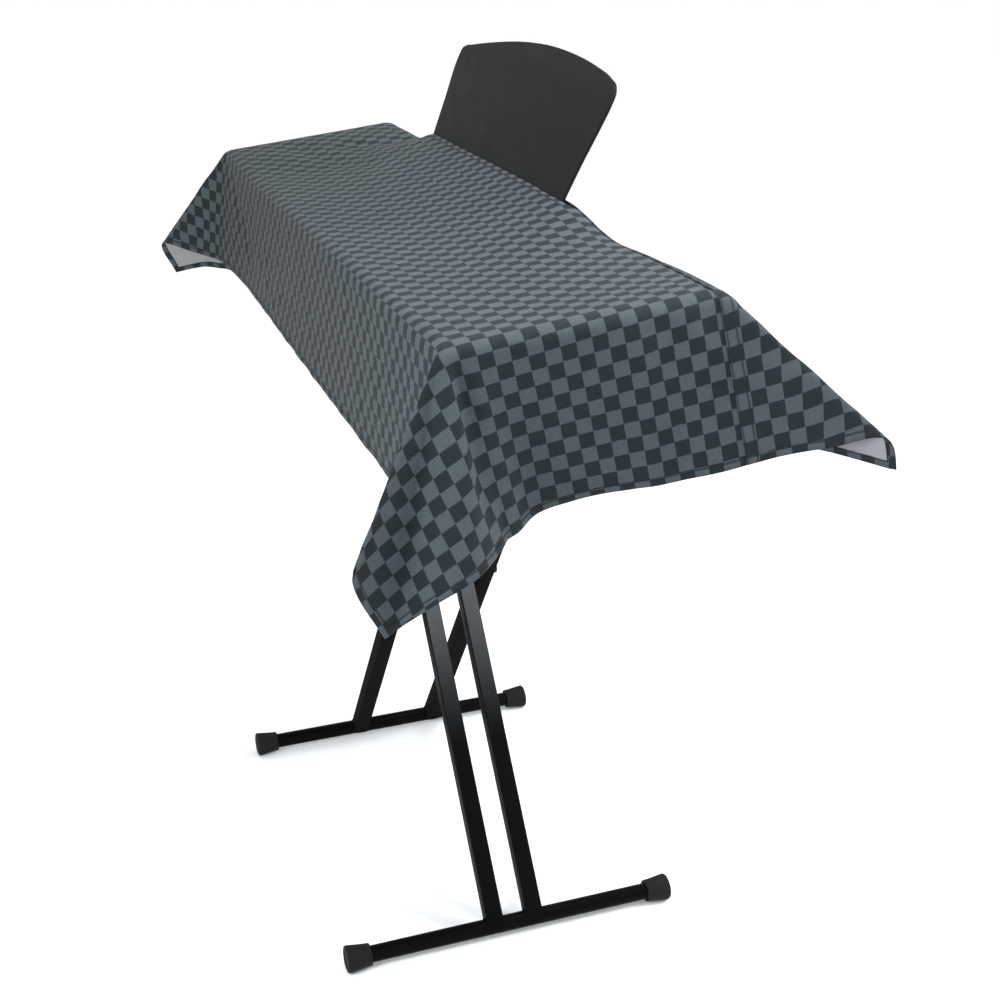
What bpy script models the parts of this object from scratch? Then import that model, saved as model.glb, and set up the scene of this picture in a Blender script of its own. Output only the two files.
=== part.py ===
"""Digital piano cover: a hemmed cloth thrown over a digital piano that stands on a folding keyboard stand.

Metres. +X is the player's right, -Y the player's side, +Z up; the floor is z = 0. Sizes below are measured
from the middle of the stand, and everything is moved so that the origin lies under the middle of the whole.
The cloth is worked out from its own flat coordinates: a runs along the piano, b across it.
"""

import bmesh
import bpy
import numpy as np
from mathutils import Vector

ORIGIN = np.array([-0.0144, -0.0016, 0.0])

# ---- cloth: the part that lies on top, and how far the skirt falls from each edge ------------------------
TOP_LENGTH = 1.318
TOP_DEPTH = 0.310
TOP_X = -0.004
TOP_Y = -0.031
FRONT_Z = 1.109
BACK_Z = 1.140
THICK = 0.0016
EDGE_BEND = {"near": 0.030, "far": 0.030, "front": 0.024, "back": 0.060}
BACK_DROP = 0.250
FAR_DROP = 0.256
# place across the cloth, drop of the skirt at the near end there
NEAR_DROP = [(-0.40, 0.266), (-0.13, 0.259), (-0.04, 0.244), (0.06, 0.237), (0.16, 0.231), (0.25, 0.224),
             (0.41, 0.231)]
# place along the cloth, drop of the skirt at the front there
FRONT_DROP = [(-0.92, 0.240), (-0.60, 0.225), (0.60, 0.247), (0.70, 0.247), (0.92, 0.245)]

# ---- cloth: the ramp up to the music rest, and the slit that lets the rest through -----------------------
RAMP_RISE = 0.0265
RAMP_START = 0.140
RAMP_RUN = 0.185
RAMP_FADE = (0.19, 0.39)
FAR_LIFT = 0.012
FAR_BACK_LIFT = 0.002
VALLEY = 0.004
SLIT_LEFT = -0.446
SLIT_RIGHT = 0.229
SLIT_END = 0.020
SLIT_PUSH = 0.014
SLIT_HEM = 0.168
SEAM_UPPER = 0.185
SEAM_LOWER = 0.201
LAP_STEP = 0.0020

# Fall of the skirt round the cloth. side or corner, place along that side, lean in x, lean in y
RING = [
    ("near", -0.145, 0.06, 0.26),
    ("near", -0.105, -0.06, 0.24),
    ("near", -0.050, -0.04, 0.24),
    ("near", 0.030, 0.06, 0.20),
    ("near", 0.100, 0.17, 0.155),
    ("near", 0.165, 0.275, 0.10),
    ("near_back", None, 0.38, 0.24),
    ("near_back", None, 0.51, 0.40),
    ("near_back", None, 0.56, 0.57),
    ("near_back", None, 0.49, 0.54),
    ("near_back", None, 0.24, 0.38),
    ("near_back", None, 0.04, 0.21),
    ("back", 0.550, 0.00, 0.10),
    ("back", 0.300, 0.00, 0.14),
    ("back", 0.000, 0.00, 0.08),
    ("back", -0.300, 0.00, 0.13),
    ("back", -0.550, 0.00, 0.09),
    ("far_back", None, -0.14, 0.30),
    ("far_back", None, -0.44, 0.50),
    ("far_back", None, -0.54, 0.30),
    ("far_back", None, -0.30, 0.06),
    ("far", 0.120, -0.12, 0.02),
    ("far", 0.000, -0.06, 0.06),
    ("far", -0.120, 0.03, 0.09),
    ("far_front", None, -0.34, -0.05),
    ("far_front", None, -0.50, -0.15),
    ("far_front", None, -0.54, -0.27),
    ("far_front", None, -0.55, -0.41),
    ("far_front", None, -0.37, -0.25),
    ("far_front", None, -0.17, -0.12),
    ("front", -0.630, -0.08, -0.09),
    ("front", -0.500, 0.00, -0.04),
    ("front", -0.380, 0.00, -0.04),
    ("front", -0.200, 0.00, -0.05),
    ("front", 0.000, 0.00, -0.05),
    ("front", 0.250, 0.00, -0.04),
    ("front", 0.500, 0.04, -0.045),
    ("front", 0.620, 0.02, -0.07),
    ("near_front", None, 0.12, -0.34),
    ("near_front", None, 0.28, -0.48),
    ("near_front", None, 0.19, -0.23),
    ("near_front", None, 0.29, -0.14),
    ("near_front", None, 0.31, 0.01),
    ("near_front", None, 0.17, 0.18),
]
SIDES = ["near", "near_back", "back", "far_back", "far", "far_front", "front", "near_front"]
CORNERS = ["near_back", "far_back", "far_front", "near_front"]
BACK_SHIFT = 0.024
FAR_PULL = 0.014

# ---- digital piano -----------------------------------------------------------------------------------------
BODY_LEFT = -0.652
BODY_RIGHT = 0.643
BODY_FRONT = -0.178
BODY_BACK = 0.146
BODY_BOTTOM = 0.979
BODY_GAP = 0.0020
FRONT_ROUND = 0.012
BACK_ROUND = 0.033
CHEEK = 0.105
KEY_BACK = 0.020
KEY_DEPTH = 0.014

# ---- music rest, measured on its own face: x, height up the board ------------------------------------------
REST_Y = 0.130
REST_Z = 1.140
REST_LEAN = np.radians(22.0)
REST_THICK = 0.0050
REST_FOOT = -0.018
REST_SLACK = 0.0004
REST_END = 0.006
REST_OUTLINE = [(-0.433, REST_FOOT), (0.194, REST_FOOT), (0.200, 0.036), (0.2133, 0.091), (0.2295, 0.146),
                (0.2368, 0.178), (0.237, 0.194), (0.229, 0.2045), (0.204, 0.213), (0.140, 0.2232),
                (0.050, 0.2308), (-0.027, 0.233), (-0.158, 0.2275), (-0.290, 0.213), (-0.396, 0.1975),
                (-0.426, 0.1925), (-0.439, 0.1865), (-0.4428, 0.176), (-0.439, 0.091), (-0.4345, 0.020)]

# ---- stand -------------------------------------------------------------------------------------------------
STAND_Y = 0.000
LEGS_Y = 0.005
FOOT_X = 0.347
FOOT_Z = 0.0215
TOP_BAR_Z = 0.965
TUBE = 0.0135
LEG_WIDTH = 0.028
NEAR_PAIR = 0.034
FAR_PAIR = 0.075
FOOT_HALF = 0.238
CAP_LENGTH = 0.040
CAP_RADIUS = 0.022
# share of the cap's length, how much slimmer it is there than at its widest
CAP_FLARE = [(0.0, 0.0042), (0.12, 0.0034), (0.35, 0.0012), (0.50, 0.0), (0.92, 0.0), (0.98, 0.0012),
             (1.0, 0.0040)]
TOP_HALF = 0.150
BOLT_RADIUS = 0.006
JOINT_GAP = 0.0003


def ease(start, end, value):
    """Smooth step from 0 at start to 1 at end."""
    t = np.clip((value - start) / (end - start), 0.0, 1.0)
    return t * t * (3.0 - 2.0 * t)


def through(places, rows, value):
    """Smooth curve through table rows, one slope per row taken from its neighbours."""
    places = np.asarray(places, float)
    rows = np.asarray(rows, float)
    value = np.clip(value, places[0], places[-1])
    slopes = np.gradient(rows, places, axis=0)
    k = np.clip(np.searchsorted(places, value, side="right") - 1, 0, len(places) - 2)
    span = places[k + 1] - places[k]
    t = (value - places[k]) / span
    if rows.ndim > 1:
        t = t[..., None]
        span = span[..., None]
    first = (2 * t**3 - 3 * t**2 + 1) * rows[k] + (t**3 - 2 * t**2 + t) * span * slopes[k]
    return first + (3 * t**2 - 2 * t**3) * rows[k + 1] + (t**3 - t**2) * span * slopes[k + 1]


def table(rows, value):
    """A two-column table read at value."""
    return through([r[0] for r in rows], [r[1] for r in rows], value)


class Skirt:
    """Direction in which the cloth falls, as a closed curve of unit vectors round the top's outline."""

    def __init__(self):
        lengths = {"near": TOP_DEPTH + BACK_SHIFT, "back": TOP_LENGTH, "far": TOP_DEPTH, "front": TOP_LENGTH}
        self.start = {}
        position = 0.0
        for side in SIDES:
            self.start[side] = position
            position += lengths.get(side, 1.0)
        self.total = position
        lean = np.array([row[2:] for row in RING], float)
        aim = np.column_stack([lean, -np.sqrt(1.0 - (lean**2).sum(axis=1))])
        place = np.array([self.side_station(row[0], row[1]) for row in RING], float)
        for corner in CORNERS:
            inside = [i for i, row in enumerate(RING) if row[0] == corner]
            chain = aim[[inside[0] - 1] + inside + [(inside[-1] + 1) % len(RING)]]
            turn = np.arccos(np.clip((chain[:-1] * chain[1:]).sum(axis=1), -1.0, 1.0)).cumsum()
            place[inside] = self.start[corner] + turn[:-1] / turn[-1]
        order = np.argsort(place)
        place = place[order]
        aim = aim[order]
        self.place = np.concatenate([[place[-1] - self.total], place, [place[0] + self.total]])
        self.aim = np.vstack([aim[-1:], aim, aim[:1]])

    def side_station(self, side, along):
        """Distance round the outline of a place on a side; corner rows are placed later."""
        if along is None:
            return 0.0
        offset = {"near": along + TOP_DEPTH / 2, "back": TOP_LENGTH / 2 - along,
                  "far": TOP_DEPTH / 2 - along, "front": along + TOP_LENGTH / 2}
        return self.start[side] + offset[side]

    def fall(self, station):
        """Unit vectors at these stations."""
        aim = through(self.place, self.aim, station)
        return aim / np.linalg.norm(aim, axis=-1, keepdims=True)


SKIRT = Skirt()


def slit_zone(a):
    """1 along the slit behind the music rest, 0 where the two panels are sewn together."""
    return ease(SLIT_LEFT - SLIT_END, SLIT_LEFT, a) * (1.0 - ease(SLIT_RIGHT, SLIT_RIGHT + SLIT_END, a))


def back_edge(a):
    """Where the cloth turns over the back edge, across the cloth."""
    pushed = SLIT_PUSH * ease(SLIT_LEFT - 0.11, SLIT_LEFT, a) * (1.0 - ease(SLIT_RIGHT - 0.25, SLIT_RIGHT, a))
    pulled = FAR_PULL * (1.0 - ease(-TOP_LENGTH / 2, SLIT_LEFT - 0.02, a))
    return TOP_DEPTH / 2 + pushed - pulled + BACK_SHIFT * ease(SLIT_RIGHT, 0.60, a)


def lying(a, b):
    """The cloth that lies on the piano: a sloping plane, with a valley and a ramp up to the music rest."""
    x = a + TOP_X
    across = b + TOP_DEPTH / 2
    z = FRONT_Z + (BACK_Z - FRONT_Z) * across / TOP_DEPTH
    slant = x - 0.5 * (0.33 - across)
    lifted = ease(-0.52, -0.41, x) * (1.0 - ease(*RAMP_FADE, slant))
    ramp = RAMP_RISE * np.clip((across - RAMP_START) / RAMP_RUN, 0.0, None) ** 1.6
    dip = VALLEY * np.sin(np.pi * np.clip(across / 0.2, 0.0, 1.0)) ** 2
    far = 1.0 - ease(-TOP_LENGTH / 2, -TOP_LENGTH / 2 + 0.26, a)
    z = z + far * (FAR_LIFT + FAR_BACK_LIFT * across / TOP_DEPTH)
    return np.stack([x, TOP_Y + b, z + lifted * (ramp - dip)], axis=-1)


def cloth(a, b):
    """Upper face of the cloth at flat coordinates a, b."""
    a, b = np.broadcast_arrays(np.asarray(a, float), np.asarray(b, float))
    half_length = TOP_LENGTH / 2
    half_depth = TOP_DEPTH / 2
    edge_a = np.clip(a, -half_length, half_length)
    edge_b = np.clip(b, -half_depth, back_edge(edge_a))
    u = a - edge_a
    v = b - edge_b
    reach = np.hypot(u, v)
    start = SKIRT.start
    turn = np.arctan2(np.abs(v), np.abs(u)) / (np.pi / 2)
    station = np.select(
        [(u > 0) & (v == 0), (u < 0) & (v == 0), (u == 0) & (v < 0), (u == 0) & (v > 0),
         (u > 0) & (v > 0), (u < 0) & (v > 0), (u < 0) & (v < 0), (u > 0) & (v < 0)],
        [start["near"] + edge_b + half_depth, start["far"] + half_depth - edge_b,
         start["front"] + edge_a + half_length, start["back"] + half_length - edge_a,
         start["near_back"] + turn, start["far_back"] + 1.0 - turn,
         start["far_front"] + turn, start["near_front"] + 1.0 - turn],
        0.0)
    fall = SKIRT.fall(station)
    # the bend over the edge is an arc that leaves the top level with it and ends along the fall
    step = 1e-4
    along_a = (lying(edge_a + step, edge_b) - lying(edge_a - step, edge_b)) / (2 * step)
    along_b = (lying(edge_a, edge_b + step) - lying(edge_a, edge_b - step)) / (2 * step)
    outward = u[..., None] * along_a + v[..., None] * along_b
    outward = outward / np.maximum(np.linalg.norm(outward, axis=-1, keepdims=True), 1e-12)
    share = (u / np.maximum(reach, 1e-12)) ** 2
    bend = share * np.where(u > 0, EDGE_BEND["near"], EDGE_BEND["far"])
    bend = (bend + (1 - share) * np.where(v > 0, EDGE_BEND["back"], EDGE_BEND["front"]))[..., None]
    angle = np.arccos(np.clip((outward * fall).sum(axis=-1, keepdims=True), -0.999, 0.999))
    part = np.clip(reach[..., None] / bend, 0.0, 1.0)
    arc = (np.cos((1 - part) * angle) - np.cos(angle)) * outward + (1 - np.cos(part * angle)) * fall
    straight = np.clip(reach[..., None] - bend, 0.0, None) * fall
    bent = bend / (angle * np.sin(angle)) * arc + straight
    return lying(edge_a, edge_b) + np.where(reach[..., None] > 0, bent, 0.0)


def cloth_faces(a, b, sink):
    """Upper and lower face of the cloth, both pushed down by sink along the cloth's own normal."""
    step = 0.0015
    tangent_a = cloth(a + step, b) - cloth(a - step, b)
    tangent_b = cloth(a, b + step) - cloth(a, b - step)
    normal = np.cross(tangent_a, tangent_b)
    normal = normal / np.linalg.norm(normal, axis=-1, keepdims=True)
    face = cloth(a, b) - normal * sink[..., None]
    return face, face - normal * THICK


def spaced(stops):
    """Grid lines through stops: rows of place reached, number of steps to it."""
    lines = [stops[0][0]]
    for place, steps in stops[1:]:
        lines.extend(np.linspace(lines[-1], place, steps + 1)[1:])
    return np.array(lines)


HALF_LENGTH = TOP_LENGTH / 2
HALF_DEPTH = TOP_DEPTH / 2
# 0 to 1 is the top, below 0 and above 1 the skirt; the skirt's bends take their lines in metres
ALONG = spaced([(-HALF_LENGTH, 0), (-0.53, 3), (SLIT_LEFT - SLIT_END, 3), (SLIT_LEFT, 2), (-0.36, 3), (0.12, 8),
                (SLIT_RIGHT, 4), (SLIT_RIGHT + SLIT_END, 2), (0.44, 7), (HALF_LENGTH, 5)])
ACROSS = spaced([(-HALF_DEPTH, 0), (-0.02, 4), (SLIT_HEM, 10)])
LAP = [SEAM_UPPER - 0.007, SEAM_UPPER, (SEAM_UPPER + SEAM_LOWER) / 2, SEAM_LOWER]
FALL_LINES = spaced([(0.0, 0), (1.0, 14)])
FAR_FALL_LINES = spaced([(0.0, 0), (1.0, 11)])


def skirt_lines(bend, bend_steps, drop, lines):
    """Distances down the skirt: even steps round the bend, then shares of the rest of the drop."""
    curve = np.linspace(0.0, bend, bend_steps + 1)[1:]
    curve = np.broadcast_to(curve, drop.shape + curve.shape)
    rest = bend + (drop[..., None] - bend) * lines[1:]
    return np.concatenate([curve, rest], axis=-1)


def panel_grid(across_of):
    """Flat coordinates of a panel's grid. across_of(a) gives the lines across the cloth at each a."""
    far = np.linspace(-HALF_LENGTH - FAR_DROP, -HALF_LENGTH, 3 + len(FAR_FALL_LINES))[:-1]
    near = np.linspace(HALF_LENGTH, HALF_LENGTH + 0.24, 5 + len(FALL_LINES))[1:]
    b = across_of(np.concatenate([far, ALONG, near]))
    for _ in range(2):
        near = skirt_lines(EDGE_BEND["near"], 5, table(NEAR_DROP, b[-1]), FALL_LINES)
        far = skirt_lines(EDGE_BEND["far"], 3, np.full(b.shape[1], FAR_DROP), FAR_FALL_LINES)
        a = np.vstack([
            -HALF_LENGTH - far.T[::-1],
            np.repeat(ALONG[:, None], b.shape[1], axis=1),
            HALF_LENGTH + near.T])
        b = across_of(a)
    return a, b


def main_across(a):
    """Lines of the main panel, from the front hem to the seam, or to the slit hem along the slit."""
    a = np.atleast_1d(a)
    if a.ndim == 2:
        a = a[:, 0]
    front = -HALF_DEPTH - skirt_lines(EDGE_BEND["front"], 4, table(FRONT_DROP, a), FAR_FALL_LINES)[:, ::-1]
    top = np.repeat(ACROSS[None, :], len(a), axis=0)
    stretch = (1.0 - slit_zone(a))[:, None]
    lap = SLIT_HEM + (np.array(LAP) - SLIT_HEM) * (0.02 + 0.98 * stretch)
    return np.concatenate([front, top, lap], axis=1)


def back_across(a):
    """Lines of the back panel, from the seam or slit down to the back hem."""
    a = np.atleast_1d(a)
    if a.ndim == 2:
        a = a[:, 0]
    drop = np.full(len(a), HALF_DEPTH + BACK_DROP - SEAM_LOWER)
    down = SEAM_LOWER + skirt_lines(0.040, 4, drop, FAR_FALL_LINES)
    return np.concatenate([np.repeat([LAP[1:]], len(a), axis=0), down], axis=1)


def slab(name, upper, lower, material):
    """Closed body between two grids of points of one size."""
    rows, columns = upper.shape[:2]
    points = np.concatenate([upper.reshape(-1, 3), lower.reshape(-1, 3)])
    index = np.arange(rows * columns).reshape(rows, columns)
    under = index + rows * columns
    faces = []
    for face, turn in ((index, 1), (under, -1)):
        corners = [c.ravel() for c in (face[:-1, :-1], face[1:, :-1], face[1:, 1:], face[:-1, 1:])]
        faces.append(np.stack([corners[0], corners[1], corners[2]][::turn], axis=1))
        faces.append(np.stack([corners[0], corners[2], corners[3]][::turn], axis=1))
    rim = np.concatenate([index[:-1, 0], index[-1, :-1], index[1:, -1][::-1], index[0, 1:][::-1]])
    rim_under = rim + rows * columns
    after = np.roll(rim, -1)
    faces.append(np.stack([after, rim, rim_under], axis=1))
    faces.append(np.stack([after, rim_under, np.roll(rim_under, -1)], axis=1))
    return make(name, points, np.concatenate(faces).tolist(), material)


def make(name, points, faces, material):
    """Object from points and faces, its faces turned outwards."""
    mesh = bpy.data.meshes.new(name)
    mesh.from_pydata((np.array(points, float) - ORIGIN).tolist(), [], faces)
    edit = bmesh.new()
    edit.from_mesh(mesh)
    bmesh.ops.recalc_face_normals(edit, faces=edit.faces)
    edit.to_mesh(mesh)
    edit.free()
    mesh.materials.append(material)
    item = bpy.data.objects.new(name, mesh)
    PART.objects.link(item)
    return item


def prism(name, outline, base, side, up, depth, material):
    """Extrude a flat outline. base is its origin, side and up its axes, depth the vector to its far face."""
    flat = [Vector(base) + Vector(side) * p + Vector(up) * q for p, q in outline]
    points = flat + [p + Vector(depth) for p in flat]
    count = len(outline)
    faces = [list(range(count)), list(range(2 * count - 1, count - 1, -1))]
    for i in range(count):
        j = (i + 1) % count
        faces.append([i, j, j + count, i + count])
    return make(name, points, faces, material)


def turned(name, profile, centre, sides, material):
    """Closed body turned about an axis along Y. profile: distance along the axis, radius."""
    points = []
    for along, radius in profile:
        for k in range(sides):
            angle = 2 * np.pi * (k + 0.5) / sides
            offset = Vector((radius * np.cos(angle), along, radius * np.sin(angle)))
            points.append(Vector(centre) + offset)
    faces = [list(range(sides)), list(range(len(points) - sides, len(points)))]
    for ring in range(len(profile) - 1):
        for k in range(sides):
            n = (k + 1) % sides
            base = ring * sides
            faces.append([base + k, base + n, base + sides + n, base + sides + k])
    return make(name, points, faces, material)


def arc_points(centre_y, centre_z, radius, start, end, steps):
    """Points of a rounded edge in the piano's cross section."""
    return [(centre_y + radius * np.cos(np.radians(angle)), centre_z + radius * np.sin(np.radians(angle)))
            for angle in np.linspace(start, end, steps + 1)]


def cut(item, cutter):
    """Take one closed body away from another and drop the cutter."""
    cutter.hide_render = True
    cutter.display_type = "WIRE"
    step = item.modifiers.new("cut", "BOOLEAN")
    step.operation = "DIFFERENCE"
    step.solver = "EXACT"
    step.object = cutter
    view = bpy.context.evaluated_depsgraph_get()
    mesh = bpy.data.meshes.new_from_object(item.evaluated_get(view))
    item.modifiers.clear()
    old = item.data
    item.data = mesh
    bpy.data.meshes.remove(old)
    bpy.data.objects.remove(cutter)


def finish(name, colour, roughness, metallic=0.0):
    """Principled material."""
    material = bpy.data.materials.new(name)
    material.use_nodes = True
    shader = material.node_tree.nodes["Principled BSDF"]
    shader.inputs["Base Color"].default_value = (*colour, 1.0)
    shader.inputs["Roughness"].default_value = roughness
    shader.inputs["Metallic"].default_value = metallic
    return material


def build_cover():
    """Main panel, and the back panel sewn to it at both ends of the slit."""
    a, b = panel_grid(main_across)
    sunk = LAP_STEP * ease(LAP[0], LAP[1], b)
    slab("cover_main", *cloth_faces(a, b, sunk), finish("main_canvas", (0.12, 0.15, 0.17), 0.9))
    a, b = panel_grid(back_across)
    slab("cover_back", *cloth_faces(a, b, np.zeros_like(b)), finish("back_canvas", (0.12, 0.15, 0.17), 0.9))


def build_piano():
    """Plain keyboard case: sloping top between two end cheeks, and a groove for the music rest."""
    slope = (BACK_Z - FRONT_Z) / TOP_DEPTH
    tilt = np.degrees(np.arctan(slope))

    def top_z(y):
        return FRONT_Z + slope * (y - TOP_Y + TOP_DEPTH / 2) - BODY_GAP

    front_y = BODY_FRONT + FRONT_ROUND
    back_y = BODY_BACK - BACK_ROUND
    outline = [(BODY_FRONT, BODY_BOTTOM), (BODY_FRONT, top_z(front_y) - FRONT_ROUND - 0.004)]
    outline += arc_points(front_y, top_z(front_y) - FRONT_ROUND, FRONT_ROUND, 180, 90 + tilt, 4)
    outline += arc_points(back_y, top_z(back_y) - BACK_ROUND, BACK_ROUND, 90 + tilt, 0, 6)
    outline += [(BODY_BACK, BODY_BOTTOM)]
    case = finish("piano_case", (0.02, 0.02, 0.022), 0.5)
    body = prism("piano_body", outline, (BODY_LEFT, 0, 0), (0, 1, 0), (0, 0, 1),
                 (BODY_RIGHT - BODY_LEFT, 0, 0), case)
    floor_z = top_z(BODY_FRONT) - KEY_DEPTH
    keys = [(BODY_FRONT - 0.02, floor_z), (KEY_BACK, floor_z + slope * (KEY_BACK - BODY_FRONT)),
            (KEY_BACK + 0.012, 1.20), (BODY_FRONT - 0.02, 1.20)]
    cut(body, prism("keys", keys, (BODY_LEFT + CHEEK, 0, 0), (0, 1, 0), (0, 0, 1),
                    (BODY_RIGHT - BODY_LEFT - 2 * CHEEK, 0, 0), case))
    up = Vector((0, np.sin(REST_LEAN), np.cos(REST_LEAN)))
    back = Vector((0, np.cos(REST_LEAN), -np.sin(REST_LEAN)))
    base = Vector((0, REST_Y, REST_Z))
    board = finish("rest_board", (0.035, 0.035, 0.037), 0.6)
    prism("music_rest", REST_OUTLINE, base, (1, 0, 0), up, back * REST_THICK, board)
    left = REST_OUTLINE[0][0] - REST_END
    right = REST_OUTLINE[1][0] + REST_END
    foot = REST_FOOT - REST_SLACK
    groove = [(left, foot), (right, foot), (right, 0.06), (left, 0.06)]
    cut(body, prism("groove", groove, base - back * REST_SLACK, (1, 0, 0), up,
                    back * (REST_THICK + 2 * REST_SLACK), case))


def build_leg(name, foot_x, y, material):
    """Square tube from a foot bar up across the stand to the top bar on the other side, coped to both."""
    foot = Vector((foot_x, y, FOOT_Z))
    head = Vector((-foot_x, y, TOP_BAR_Z))
    along = (head - foot).normalized()
    across = Vector((along.z, 0, -along.x))
    half = LEG_WIDTH / 2
    square = [(-half, -half), (half, -half), (half, half), (-half, half)]
    leg = prism(name, square, foot, across, (0, 1, 0), head - foot, material)
    for x, z in ((foot_x, FOOT_Z), (-foot_x, TOP_BAR_Z)):
        radius = TUBE + JOINT_GAP
        cut(leg, turned("cope", [(-0.03, radius), (0.03, radius)], (x, y, z), 32, material))
        # what is left past the bar's axis
        block = [(0.0, -0.05), (-0.06, -0.05), (-0.06, 0.05), (0.0, 0.05)]
        axis = along if z < 0.5 else -along
        side = Vector((axis.z, 0, -axis.x))
        cut(leg, prism("end", block, Vector((x, y - 0.03, z)) + axis * 0.0005, axis, side, (0, 0.06, 0),
                       material))
    centre = (foot + head) / 2
    radius = BOLT_RADIUS + JOINT_GAP
    cut(leg, turned("hole", [(-0.03, radius), (0.03, radius)], centre, 16, material))


def build_stand():
    """Double-braced folding stand: two pairs of crossed legs, round foot and top bars, rubber foot caps."""
    steel = finish("stand_steel", (0.012, 0.012, 0.012), 0.35, 0.3)
    bars = finish("bar_steel", (0.012, 0.012, 0.012), 0.35, 0.3)
    rubber = finish("cap_rubber", (0.02, 0.02, 0.02), 0.8)
    bolt = finish("bolt_steel", (0.01, 0.01, 0.01), 0.3, 1.0)
    for pair, foot_x, half in (("near", FOOT_X, NEAR_PAIR), ("far", -FOOT_X, FAR_PAIR)):
        for place, sign in (("front", -1), ("back", 1)):
            build_leg(f"leg_{pair}_{place}", foot_x, LEGS_Y + sign * half, steel)
            cap = [(CAP_LENGTH * share, CAP_RADIUS - step) for share, step in CAP_FLARE]
            if sign < 0:
                cap = [(-along, radius) for along, radius in cap]
            end = (foot_x, STAND_Y + sign * (FOOT_HALF + JOINT_GAP), FOOT_Z)
            foot = turned(f"foot_cap_{pair}_{place}", cap, end, 28, rubber)
            block = [(-0.05, -0.05), (0.05, -0.05), (0.05, 0.0), (-0.05, 0.0)]
            cut(foot, prism("floor", block, (foot_x, end[1] - 0.06, 0.0), (1, 0, 0), (0, 0, 1), (0, 0.12, 0),
                            rubber))
        bar = [(-FOOT_HALF, TUBE), (FOOT_HALF, TUBE)]
        turned(f"foot_bar_{pair}", bar, (foot_x, STAND_Y, FOOT_Z), 32, bars)
        bar = [(-TOP_HALF, TUBE), (TOP_HALF, TUBE)]
        turned(f"top_bar_{pair}", bar, (-foot_x, STAND_Y, TOP_BAR_Z), 32, bars)
    inner = FAR_PAIR + LEG_WIDTH / 2 + JOINT_GAP
    pin = [(-inner - 0.006, 0.008), (-inner - 0.005, 0.010), (-inner, 0.010), (-inner + 1e-5, BOLT_RADIUS),
           (inner - 1e-5, BOLT_RADIUS), (inner, 0.010), (inner + 0.005, 0.010), (inner + 0.006, 0.008)]
    turned("pivot_bolt", pin, (0, LEGS_Y, (FOOT_Z + TOP_BAR_Z) / 2), 16, bolt)


for stray in list(bpy.data.objects):
    bpy.data.objects.remove(stray)
PART = bpy.data.collections.new("digital_piano_cover")
bpy.context.scene.collection.children.link(PART)
build_cover()
build_piano()
build_stand()
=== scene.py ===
"""Dressed model of a check canvas cover lying over a digital piano on a folding keyboard stand.

Everything is in metres in the row frame: +X is the player's right, -Y the player's side, +Z up. The cover
is worked out from its own flat coordinates, a along the piano and b across it.
"""

from __future__ import annotations

import logging  # noqa: E402
import math  # noqa: E402
from dataclasses import dataclass, field  # noqa: E402
from enum import Enum  # noqa: E402

import bpy  # noqa: E402
import numpy as np  # noqa: E402
from mathutils import Matrix, Vector  # noqa: E402


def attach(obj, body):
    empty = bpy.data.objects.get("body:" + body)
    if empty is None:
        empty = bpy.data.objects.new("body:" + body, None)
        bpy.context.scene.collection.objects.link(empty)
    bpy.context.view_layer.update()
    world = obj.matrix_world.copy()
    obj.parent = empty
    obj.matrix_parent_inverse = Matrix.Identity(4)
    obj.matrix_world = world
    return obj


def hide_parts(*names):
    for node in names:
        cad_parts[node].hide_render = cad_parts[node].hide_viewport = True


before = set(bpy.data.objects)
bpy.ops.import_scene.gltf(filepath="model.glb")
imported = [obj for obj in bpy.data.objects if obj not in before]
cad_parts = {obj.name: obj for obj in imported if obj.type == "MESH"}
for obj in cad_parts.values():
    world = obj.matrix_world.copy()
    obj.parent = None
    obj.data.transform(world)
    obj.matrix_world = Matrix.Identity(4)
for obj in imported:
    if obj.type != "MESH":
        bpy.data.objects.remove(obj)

LOG = logging.getLogger("piano_cover")
# where the row frame's origin lies in the frame that the sizes below are given in
ORIGIN = np.array([-0.0144, -0.0016, 0.0])
UV_NAME = "print"
# point attribute of painted shade in stitch grooves, along folded edges and under the seam's fold
GROOVE_SHADE = "groove"
Array = np.ndarray
Colour = tuple[float, float, float]


# ---------------------------------------------------------------------------------------------------------
# helpers on arrays


def ease(start: float, end: float, value: Array) -> Array:
    """Smooth step 3t^2 - 2t^3 from 0 at start to 1 at end.

    Args:
        start: Where the step begins.
        end: Where it is complete.
        value: Places to read it at.

    Returns:
        The step at each place.
    """
    t = np.clip((value - start) / (end - start), 0.0, 1.0)
    return t * t * (3.0 - 2.0 * t)


def through(places: Array, rows: Array, value: Array) -> Array:
    """Cubic Hermite curve through table rows, each row's slope taken from its neighbours.

    Args:
        places: Increasing places of the rows.
        rows: One value or one vector for each place.
        value: Places to read the curve at.

    Returns:
        The curve at each place.
    """
    value = np.clip(value, places[0], places[-1])
    slopes = np.gradient(rows, places, axis=0)
    k = np.clip(np.searchsorted(places, value, side="right") - 1, 0, len(places) - 2)
    span = places[k + 1] - places[k]
    t = (value - places[k]) / span
    if rows.ndim > 1:
        t = t[..., None]
        span = span[..., None]
    first = (2 * t**3 - 3 * t**2 + 1) * rows[k] + (t**3 - 2 * t**2 + t) * span * slopes[k]
    return first + (3 * t**2 - 2 * t**3) * rows[k + 1] + (t**3 - t**2) * span * slopes[k + 1]


def unit(vectors: Array) -> Array:
    """Vectors scaled to length one."""
    return vectors / np.maximum(np.linalg.norm(vectors, axis=-1, keepdims=True), 1e-12)


def softened(values: Array) -> Array:
    """Each row and column of a grid averaged with its neighbours, weighted 1, 2, 1; the rim stays."""
    out = values.copy()
    out[1:-1] = (values[:-2] + 2 * values[1:-1] + values[2:]) / 4
    values = out.copy()
    out[:, 1:-1] = (values[:, :-2] + 2 * values[:, 1:-1] + values[:, 2:]) / 4
    return out


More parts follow.
